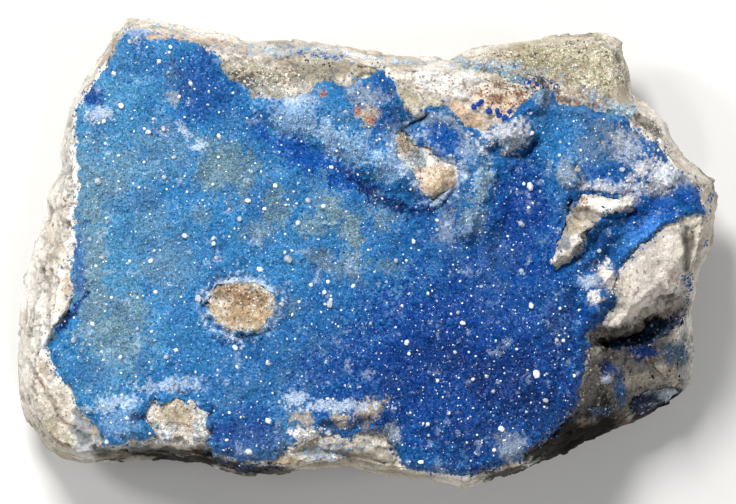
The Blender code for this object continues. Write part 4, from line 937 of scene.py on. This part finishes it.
def steep_rows(edge, rng):
    """Rows of points just inside the outline, close together because the rock is steep there."""
    along = np.roll(edge, -1, axis=0) - np.roll(edge, 1, axis=0)
    inward = np.column_stack((along[:, 1], -along[:, 0])) / np.hypot(*along.T)[:, None]
    rows = []
    for reach in np.arange(STEEP_STEP, STEEP_REACH, STEEP_STEP):
        row = edge + inward * (reach + rng.uniform(-0.3, 0.3, (len(edge), 1)) * STEEP_STEP)
        rows.append(row[signed_distance(row, OUTLINE) > 0.9 * reach - 0.3 * STEEP_STEP])
    return np.vstack(rows)


def is_steep(points):
    """Whether the face rises steeply at each point."""
    rise = np.zeros(len(points))
    for step in np.array(((STEEP_PROBE, 0.0), (0.0, STEEP_PROBE))):
        change = face_height(points + step) - face_height(points - step)
        rise = np.maximum(rise, np.abs(change) / (2.0 * STEEP_PROBE))
    return rise > STEEP_RISE


def bare_points(step, rng):
    """Points over the bare part of the face, up to the steep rows near its outline."""
    points = scattered(step, rng)
    points = points[signed_distance(points, OUTLINE) > STEEP_REACH]
    return points[inside_crust(points) < UNDER_CRUST]


def rock_top(edge, rng):
    """The rock's top: fine where it is bare, finer where it is steep and coarse under the crust."""
    fine = bare_points(ROCK_STEP, rng)
    finer = bare_points(STEEP_ROCK_STEP, rng)
    coarse = scattered(COARSE_STEP, rng)
    coarse = coarse[inside_crust(coarse) > UNDER_CRUST + COARSE_STEP * 0.6]
    loose = np.vstack((fine, finer[is_steep(finer)], coarse, steep_rows(edge, rng)))
    flat, faces = triangulate([edge], loose)
    return np.column_stack((flat, face_height(flat))), faces


def close_rock(top, faces, count):
    """The top with broken sides and a flat back; depth is 0 on top and 1 at the back."""
    points = [top]
    solid = [faces]
    upper = np.arange(count)
    for row in range(SIDE_ROWS - 1, -1, -1):
        lower = sum(len(part) for part in points) + np.arange(count)
        points.append(side_ring(top[:count], row / SIDE_ROWS, SEED + 10))
        solid += split_quads(upper, np.roll(upper, -1), np.roll(lower, -1), lower)
        upper = lower
    middle = sum(len(part) for part in points)
    points.append(np.zeros((1, 3)))
    solid.append(np.column_stack((upper, np.roll(upper, -1), np.full(count, middle))))
    depth = np.ones(middle + 1)
    depth[:len(top)] = 0.0
    depth[len(top):-1] = np.repeat(np.arange(1, SIDE_ROWS + 1) / SIDE_ROWS, count)
    return np.vstack(points), np.vstack(solid), depth


def make_rock(material, rng):
    """The rock with its broken surface and its colours."""
    edge = resample(OUTLINE, ROCK_EDGE_STEP)
    top, faces = rock_top(edge, rng)
    points, faces, depth = close_rock(top, faces, len(edge))
    normals = point_normals(points, faces)
    level = smooth_step(np.where(depth > 0.0, 1.0, normals[:, 2] / 0.5))
    rough = rock_roughness(points, depth, level)
    painted = (1.0 - smooth_step(depth / 0.1)) * (0.4 + 0.6 * level)
    colours = rock_colour(points, painted, 1.0 - smooth_step((depth - 0.1) / 0.4))
    # Painted shade: the colour is darker where the surface dips and in the cracks and grooves.
    crevice_shade = 0.35 * smooth_step(-rough / 0.4) + 0.45 * smooth_step(crack_depth(points[:, :2]) / 0.8)
    colours = colours * (1.0 - crevice_shade)[:, None]
    points = points + normals * rough[:, None]
    points[:, 2] = np.maximum(points[:, 2], 0.0)
    return make_piece("rock", points, faces, colours, material, "matrix")


def rock_roughness(points, depth, level):
    """How far the rock stands out from its smooth shape."""
    rough = mixed(solid_noise, points, ROCK_NOISE, SEED + 90)
    rough = mixed(level_facets, points, ROCK_FACETS, SEED + 100, rough)
    rough += 0.11 * level_facets(layer_place(points), 1.1, SEED + 94)
    rough *= 0.3 + 0.7 * level
    rough += 0.5 * (1.0 - level) * facets(points, 3.0, SEED + 93, -1.2, 0.4)
    rough -= 0.25 * fissures(points)
    below = smooth_step(depth / 0.25)
    rough -= below * (0.6 + 0.55 * facets(points, 5.5, SEED + 98, -1.1, 1.1))
    split = np.abs(solid_noise(points, 6.0, SEED + 99)) / 0.05
    rough -= 0.5 * below * smooth_step(1.0 - split)
    on_top = depth == 0.0
    bare = np.ones(len(points))
    bare[on_top] = smooth_step(1.0 - inside_crust(points[on_top, :2]) / UNDER_CRUST)
    slab = patch_share(points, SMOOTH_PLACE, SEED + 80, 0.0)
    bare[on_top] *= 1.0 - 0.6 * slab[on_top]
    return rough * bare * smooth_step(points[:, 2] / 1.2)


def crust_top(points, distance):
    """Height of the top of a crust whose border is that distance away."""
    share = smooth_step((distance + 0.1) / CRUST_TAPER)
    lumps = mixed(smooth_noise, points, CRUST_NOISE, SEED + 110)
    return face_height(points) + CRUST_THICKNESS * (0.22 + 0.78 * share) + lumps * share


def clear_of(points, rings, step):
    """Whether each point is inside the first ring, outside the others and not too near any of them."""
    clear = inside_rings(points, rings)
    for ring in rings:
        clear &= edge_distance(points, [tuple(point) for point in ring])[0] > step * 0.5
    return clear


def inside_rim(ring):
    """The ring, drawn in towards the middle where it strays over the rim of the face."""
    over = np.maximum(CRUST_SETBACK - signed_distance(ring, RIM), 0.0)
    return ring * (1.0 - over / np.hypot(*ring.T))[:, None]


def signed_area(ring):
    x, y = ring.T
    return 0.5 * float(np.sum(x * np.roll(y, -1) - np.roll(x, -1) * y))


def crust_rings(borders, node):
    """The borders of a crust as ragged rings of points."""
    rings = [resample(border, CRUST_EDGE_STEP) for border in borders]
    rings = [ring - wander(ring) for ring in rings]
    if node == "main_druse":
        rings = [inside_rim(ring) for ring in rings]
    return rings


def rough_bed(rings, distance, rng):
    """The rough top of a crust, and how far it stands out from its smooth shape."""
    loose = scattered(BED_STEP, rng)
    nearest = distance(loose)
    deep = loose[nearest > NEAR_BORDER]
    shallow = loose[np.abs(nearest) <= NEAR_BORDER]
    shallow = shallow[clear_of(shallow, rings, BED_STEP)]
    flat, faces = triangulate(rings, np.vstack((deep, shallow)))
    nearest = distance(flat)
    top = np.column_stack((flat, crust_top(flat, nearest)))
    rough = mixed(facets, top, BED_FACETS, SEED + 120)
    rough *= smooth_step((nearest + 0.8) / 1.2)
    return top + point_normals(top, faces) * rough[:, None], flat, faces, rough


def bed_walls(rings, below):
    """Faces that close a crust along its rings; below is the step from a top point to its lower one."""
    walls = []
    first = 0
    for number, ring in enumerate(rings):
        upper = first + np.arange(len(ring))
        ahead = np.roll(upper, -1)
        if (signed_area(ring) > 0) != (number == 0):
            upper, ahead = ahead, upper
        walls += split_quads(ahead, upper, upper + below, ahead + below)
        first += len(ring)
    return walls


def make_bed(name, borders, distance, colour, material, node, rng):
    """A crust's own layer, closed all round, with a rough top."""
    rings = crust_rings(borders, node)
    top, flat, faces, rough = rough_bed(rings, distance, rng)
    # Painted shade and light: the bed's colour is darker where its rough top dips and lighter where it
    # rises.
    shade = 1.0 + 0.9 * np.clip(rough, -0.35, 0.35)
    coarse = scattered(COARSE_STEP, rng)
    coarse = coarse[distance(coarse) > COARSE_STEP / 2.0]
    under, under_faces = triangulate(rings, coarse)
    bottom = np.column_stack((under, face_height(under) - CRUST_OVERLAP))
    points = np.vstack((top, bottom))
    faces = np.vstack([faces, under_faces[:, ::-1] + len(top)] + bed_walls(rings, len(top)))
    colours = np.vstack((colour(flat) * shade[:, None], colour(under)))
    return make_piece(name, points, faces, colours, material, node)


def drop_onto(piece, points):
    """Places on a piece below the points, and its upward normals there."""
    places, normals = [], []
    for x, y in points * MM:
        _hit, place, normal, _face = piece.ray_cast((x, y, PROBE_HEIGHT), (0.0, 0.0, -1.0))
        places.append(place)
        normals.append(normal)
    return np.array(places) / MM, np.array(normals)


def random_turns(count, rng):
    """Random rotations, as one matrix for each piece."""
    quaternions = rng.normal(size=(count, 4))
    quaternions /= np.linalg.norm(quaternions, axis=1)[:, None]
    w, x, y, z = quaternions.T
    rows = (
        (1 - 2 * (y * y + z * z), 2 * (x * y - z * w), 2 * (x * z + y * w)),
        (2 * (x * y + z * w), 1 - 2 * (x * x + z * z), 2 * (y * z - x * w)),
        (2 * (x * z - y * w), 2 * (y * z + x * w), 1 - 2 * (x * x + y * y)),
    )
    return np.array(rows).transpose(2, 0, 1)


def leaning_turns(normals, lean, rng):
    """Rotations that stand a crystal on a surface, leaning a little, with any spin."""
    up = normals + rng.normal(0.0, lean, normals.shape)
    up /= np.linalg.norm(up, axis=1)[:, None]
    side = np.cross(up, rng.normal(size=normals.shape))
    side /= np.linalg.norm(side, axis=1)[:, None]
    return np.stack((side, np.cross(up, side), up), axis=2)


def grow(shape, places, turns, sizes):
    """Many copies of one crystal shape as a single mesh's points and faces."""
    corners, faces = shape
    scaled = corners[None] * sizes[:, None, :]
    points = np.einsum("nij,nkj->nki", turns, scaled) + places[:, None, :]
    first = np.arange(len(places))[:, None, None] * len(corners)
    return points.reshape(-1, 3), (faces[None] + first).reshape(-1, 3)


def sharp_crystal():
    corners = np.array([(1, 1, 1), (-1, -1, 1), (-1, 1, -1), (1, -1, -1)], float)
    return corners, np.array([(0, 2, 1), (0, 1, 3), (0, 3, 2), (1, 2, 3)])


def blunt_crystal():
    """A six-sided crystal that narrows to a small flat top."""
    rings = ((1.0, -1.0), (1.1, 0.3), (0.5, 1.0))
    angles = np.arange(6) * math.tau / 6
    corners = [(reach * math.cos(a), reach * math.sin(a), z) for reach, z in rings for a in angles]
    faces = [(0, i + 1, i) for i in range(1, 5)] + [(12, 12 + i, 13 + i) for i in range(1, 5)]
    for low in (0, 6):
        for i in range(6):
            j = (i + 1) % 6
            faces += [(low + i, low + j, low + j + 6), (low + i, low + j + 6, low + i + 6)]
    return np.array(corners, float), np.array(faces)


def add_grains(name, below, points, colours, radius, whites, material, rng):
    """Small sharp crystals on a piece, some of them pale."""
    places, normals = drop_onto(below, points)
    sizes = radius * rng.lognormal(0.0, 0.28, (len(points), 1)) * rng.uniform(0.7, 1.3, places.shape)
    places += normals * (sizes.mean(axis=1) * rng.uniform(-0.3, 0.5, len(points)))[:, None]
    points, faces = grow(sharp_crystal(), places, random_turns(len(places), rng), sizes)
    tints = colours * rng.lognormal(0.0, 0.16, (len(places), 1)) * rng.uniform(0.93, 1.07, colours.shape)
    pale = rng.random(len(places)) < whites
    tints[pale] = blend(tints[pale], linear(FROST), rng.uniform(0.15, 0.7, int(pale.sum())))
    tints = np.repeat(tints, len(points) // len(places), axis=0)
    return make_piece(name, points, faces, tints, material, below["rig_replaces"][0], smooth=False)


def add_clear_crystals(name, below, points, size, spread, lift, material, rng):
    """Blunt crystals that stand on a piece, leaning a little."""
    places, normals = drop_onto(below, points)
    sizes = size * rng.lognormal(0.0, spread, (len(points), 1)) * rng.uniform(0.7, 1.2, places.shape)
    places += normals * (sizes[:, 2] * lift)[:, None]
    points, faces = grow(blunt_crystal(), places, leaning_turns(normals, 0.4, rng), sizes)
    tints = rng.uniform(0.85, 1.0, (len(places), 1)) * linear(ICE)
    tints = np.repeat(tints, len(points) // len(places), axis=0)
    return make_piece(name, points, faces, tints, material, "main_druse", smooth=False)


def add_specks(rock, material, rng):
    """Rust, dark and tan grains lodged in the bare rock."""
    points, tints = [], []
    for x, y, half_width, half_height, colour, count in SPECKS:
        turn = rng.uniform(0.0, math.tau, count)
        out = np.sqrt(rng.uniform(0.0, 1.0, count))
        spread = np.column_stack((np.cos(turn) * half_width, np.sin(turn) * half_height))
        points.append(spread * out[:, None] + (x, y))
        tints.append(np.tile(linear(colour), (count, 1)))
    points, tints = np.vstack(points), np.vstack(tints)
    bare = (inside_crust(points) < 0.0) & (signed_distance(points, OUTLINE) > 0.8)
    add_grains("specks", rock, points[bare], tints[bare], SPECK_RADIUS, 0.0, material, rng)


def dusted_points(rng):
    """Places on bare rock, near the crust and in dusted patches, for single grains, and their colours."""
    points = scattered(SINGLE_STEP, rng, jitter=0.5)
    distance = inside_crust(points)
    chance = 0.7 * np.exp(-np.maximum(-distance, 0.0) / 0.30)
    colours = crust_colour(points)
    ragged = fine_raggedness(points, SEED + 598)
    for number, patch in enumerate(DUSTED):
        cover = patch[6] * patch_share(points, patch, SEED + 600 + number, ragged)
        chance = np.maximum(chance, smooth_step((cover - 0.2) / 0.5))
        colours = blend(colours, linear(patch[5]), smooth_step(cover * 1.6))
    on_rock = (distance < 0.1) & (signed_distance(points, OUTLINE) > 0.5)
    chosen = on_rock & (rng.random(len(points)) < chance)
    return points[chosen], colours[chosen]


def round_ball():
    """A ball of rings of points between its two poles."""
    turns = np.arange(BALL_SIDES) * math.tau / BALL_SIDES
    rings = [(math.sin(a), math.cos(a)) for a in np.linspace(0.0, math.pi, BALL_RINGS + 2)[1:-1]]
    corners = [(reach * math.cos(a), reach * math.sin(a), z) for reach, z in rings for a in turns]
    corners = [(0, 0, 1)] + corners + [(0, 0, -1)]
    sides = [(i, (i + 1) % BALL_SIDES) for i in range(BALL_SIDES)]
    faces = [(0, 1 + a, 1 + b) for a, b in sides]
    for row in range(BALL_RINGS - 1):
        upper = 1 + row * BALL_SIDES
        lower = upper + BALL_SIDES
        for a, b in sides:
            faces += [(upper + a, lower + a, lower + b), (upper + a, lower + b, upper + b)]
    last = len(corners) - 1
    faces += [(last, last - BALL_SIDES + b, last - BALL_SIDES + a) for a, b in sides]
    return np.array(corners, float), np.array(faces)


def add_balls(rock, material):
    """Small deep-blue balls on the white slope."""
    places, normals = drop_onto(rock, np.array(BLUE_BALLS))
    places += 0.15 * normals
    radii = BALL_RADIUS + 0.05 * (np.arange(len(places)) % 3)
    turns = np.repeat(np.eye(3)[None], len(places), axis=0)
    points, faces = grow(round_ball(), places, turns, np.repeat(radii[:, None], 3, axis=1))
    points += 0.06 * point_normals(points, faces) * facets(points, 0.16, SEED + 130)[:, None]
    tints = np.tile(linear(BALL_BLUE), (len(points), 1))
    return make_piece("blue_balls", points, faces, tints, material, "matrix", smooth=False)


def new_material(name, roughness, ior=1.5, gloss=0.35):
    material = bpy.data.materials.new(name)
    material.use_nodes = True
    shader = material.node_tree.nodes["Principled BSDF"]
    shader.inputs["Roughness"].default_value = roughness
    shader.inputs["IOR"].default_value = ior
    shader.inputs["Specular IOR Level"].default_value = gloss
    return material, material.node_tree, shader


def add_node(tree, kind, **values):
    node = tree.nodes.new(kind)
    for name, value in values.items():
        if name in node.inputs:
            node.inputs[name].default_value = value
        else:
            setattr(node, name, value)
    return node


def object_place(tree):
    """Place in the object's own metres, which stay with the piece when it moves."""
    return add_node(tree, "ShaderNodeTexCoord").outputs["Object"]


def mottled_tint(tree, size, low, high):
    """The painted colour, lighter and darker in grains of that size."""
    tint = add_node(tree, "ShaderNodeAttribute", attribute_name="tint")
    noise = add_node(tree, "ShaderNodeTexNoise", Scale=1.0 / (size * MM), Detail=4.0, Roughness=0.65)
    tree.links.new(object_place(tree), noise.inputs["Vector"])
    shade = add_node(tree, "ShaderNodeMapRange")
    for name, value in (("From Min", 0.3), ("From Max", 0.7), ("To Min", low), ("To Max", high)):
        shade.inputs[name].default_value = value
    tree.links.new(noise.outputs["Fac"], shade.inputs["Value"])
    scaled = add_node(tree, "ShaderNodeVectorMath", operation="SCALE")
    tree.links.new(tint.outputs["Color"], scaled.inputs[0])
    tree.links.new(shade.outputs["Result"], scaled.inputs["Scale"])
    return scaled.outputs[0]


def rock_material():
    material, tree, shader = new_material("rock", roughness=0.86, gloss=0.10)
    tint = mottled_tint(tree, size=0.22, low=0.66, high=1.34)
    tree.links.new(tint, shader.inputs["Base Color"])
    grain = add_node(tree, "ShaderNodeTexNoise", Scale=1.0 / (0.30 * MM), Detail=6.0, Roughness=0.72)
    tree.links.new(object_place(tree), grain.inputs["Vector"])
    bump = add_node(tree, "ShaderNodeBump", Strength=1.0, Distance=0.45 * MM)
    tree.links.new(grain.outputs["Fac"], bump.inputs["Height"])
    tree.links.new(bump.outputs["Normal"], shader.inputs["Normal"])
    return material


def druse_material(name, cell, tilt, roughness):
    """Many small crystal faces: each cell of the pattern faces its own way and has its own shade."""
    material, tree, shader = new_material(name, roughness, ior=1.53, gloss=0.16)
    cells = add_node(tree, "ShaderNodeTexVoronoi", Scale=1.0 / (cell * MM))
    tree.links.new(object_place(tree), cells.inputs["Vector"])
    centred = add_node(tree, "ShaderNodeVectorMath", operation="SUBTRACT")
    tree.links.new(cells.outputs["Color"], centred.inputs[0])
    centred.inputs[1].default_value = (0.5, 0.5, 0.5)
    tilted = add_node(tree, "ShaderNodeVectorMath", operation="SCALE")
    tilted.inputs["Scale"].default_value = tilt
    tree.links.new(centred.outputs[0], tilted.inputs[0])
    surface = add_node(tree, "ShaderNodeNewGeometry")
    leaned = add_node(tree, "ShaderNodeVectorMath", operation="ADD")
    tree.links.new(surface.outputs["Normal"], leaned.inputs[0])
    tree.links.new(tilted.outputs[0], leaned.inputs[1])
    unit = add_node(tree, "ShaderNodeVectorMath", operation="NORMALIZE")
    tree.links.new(leaned.outputs[0], unit.inputs[0])
    tree.links.new(unit.outputs[0], shader.inputs["Normal"])
    tint = mottled_tint(tree, size=cell * 1.2, low=0.78, high=1.24)
    tree.links.new(tint, shader.inputs["Base Color"])
    return material


def clear_material(name, transmission, roughness):
    material, tree, shader = new_material(name, roughness, ior=1.535)
    shader.inputs["Transmission Weight"].default_value = transmission
    tint = mottled_tint(tree, size=0.4, low=0.92, high=1.0)
    tree.links.new(tint, shader.inputs["Base Color"])
    return material


def add_floor():
    mesh = bpy.data.meshes.new("floor")
    corners = [(FLOOR_REACH * x, FLOOR_REACH * y, 0.0) for x, y in ((-1, -1), (1, -1), (1, 1), (-1, 1))]
    mesh.from_pydata(corners, [], [(0, 1, 2, 3)])
    floor = bpy.data.objects.new("floor", mesh)
    material, _tree, shader = new_material("floor", roughness=0.9)
    shader.inputs["Base Color"].default_value = FLOOR_COLOUR
    mesh.materials.append(material)
    bpy.context.collection.objects.link(floor)


def add_light(name, place, size, power):
    """A soft square light that faces the rock."""
    light = bpy.data.lights.new(name, "AREA")
    light.size = size
    light.energy = power
    holder = bpy.data.objects.new(name, light)
    holder.location = place
    facing = Vector((0.0, 0.0, 0.02)) - Vector(place)
    holder.rotation_euler = facing.to_track_quat("-Z", "Y").to_euler()
    bpy.context.collection.objects.link(holder)


def add_lights():
    world = bpy.data.worlds.new("studio")
    world.use_nodes = True
    background = world.node_tree.nodes["Background"]
    background.inputs["Color"].default_value = WORLD_COLOUR
    background.inputs["Strength"].default_value = WORLD_STRENGTH
    bpy.context.scene.world = world
    for name, place, size, power in LIGHTS:
        add_light(name, place, size, power)


def add_camera():
    """Straight above the face, far away, so that it looks as flat as in the photo."""
    camera = bpy.data.objects.new("camera", bpy.data.cameras.new("camera"))
    camera.data.lens = 1000.0
    camera.data.sensor_width = 36.0
    camera.data.clip_end = 20.0
    camera.location = (0.0, 0.0, CAMERA_HEIGHT)
    bpy.context.collection.objects.link(camera)
    bpy.context.scene.camera = camera


# Painted shade: the hollow's crust, darkened by the share above.
def hollow_colour(points):
    return HOLLOW_PAINTED_SHADE * crust_colour(points)


def vein_colour(points):
    return blend(linear(INK), linear(FROST_GREY), smooth_step(smooth_noise(points, 0.8, SEED + 64) - 0.1))


def build_main_crust(bed_look, grain_look, rng):
    """The large crust with its small blue grains and its clear crystals."""
    looks = {
        # The white crystal look also stands in for the crust's glints: partly painted highlights.
        "white_crystal": clear_material("white_crystal", transmission=0.15, roughness=0.12),
        "clear_crystal": clear_material("clear_crystal", transmission=0.55, roughness=0.10),
    }
    borders = [CRUST_EDGE] + BARE_HOLES
    bed = make_bed("druse_bed", borders, inside_crust, crust_colour, bed_look, "main_druse", rng)
    for name, step, radius, whites in GRAIN_LAYERS:
        points = scattered(step, rng, jitter=0.5)
        points = points[inside_crust(points) > 0.1]
        add_grains(name, bed, points, crust_colour(points), radius, whites, grain_look, rng)
    for name, look, step, size, spread in CLEAR_LAYERS:
        points = scattered(step, rng, jitter=0.5)
        points = points[inside_crust(points) > 0.4]
        add_clear_crystals(name, bed, points, size, spread, CLEAR_LIFT, looks[look], rng)
    places = np.array(LARGE_CRYSTALS)
    look = looks["white_crystal"]
    add_clear_crystals("large_crystals", bed, places, LARGE_SIZE, LARGE_SPREAD, LARGE_LIFT, look, rng)


def build_side_crust(name, border, distance, colour, bed_look, grain_look, rng):
    """The crust of the hollow or of the vein, with its own grains."""
    bed = make_bed(name + "_bed", [border], distance, colour, bed_look, name + "_druse", rng)
    points = scattered(SINGLE_STEP, rng, jitter=0.5)
    points = points[distance(points) > 0.0]
    colours = colour(points)
    name = name + "_grains"
    add_grains(name, bed, points, colours, SIDE_CRUST_RADIUS, PALE_SHARE, grain_look, rng)


def build_crusts(rock, rng):
    bed_look = druse_material("druse_bed", cell=0.24, tilt=0.5, roughness=0.42)
    grain_look = druse_material("blue_grains", cell=0.16, tilt=0.2, roughness=0.34)
    build_main_crust(bed_look, grain_look, rng)
    build_side_crust("hollow", HOLLOW_CRUST, inside_hollow, hollow_colour, bed_look, grain_look, rng)
    build_side_crust("vein", VEIN_CRUST, inside_vein, vein_colour, bed_look, grain_look, rng)
    points, colours = dusted_points(rng)
    add_grains("border_grains", rock, points, colours, BORDER_RADIUS, PALE_SHARE, grain_look, rng)
    add_balls(rock, grain_look)


rng = np.random.default_rng(SEED)
rock_look = rock_material()
rock = make_rock(rock_look, rng)
add_specks(rock, rock_look, rng)
build_crusts(rock, rng)
add_floor()
add_lights()
add_camera()
bpy.context.scene.view_settings.view_transform = "Standard"
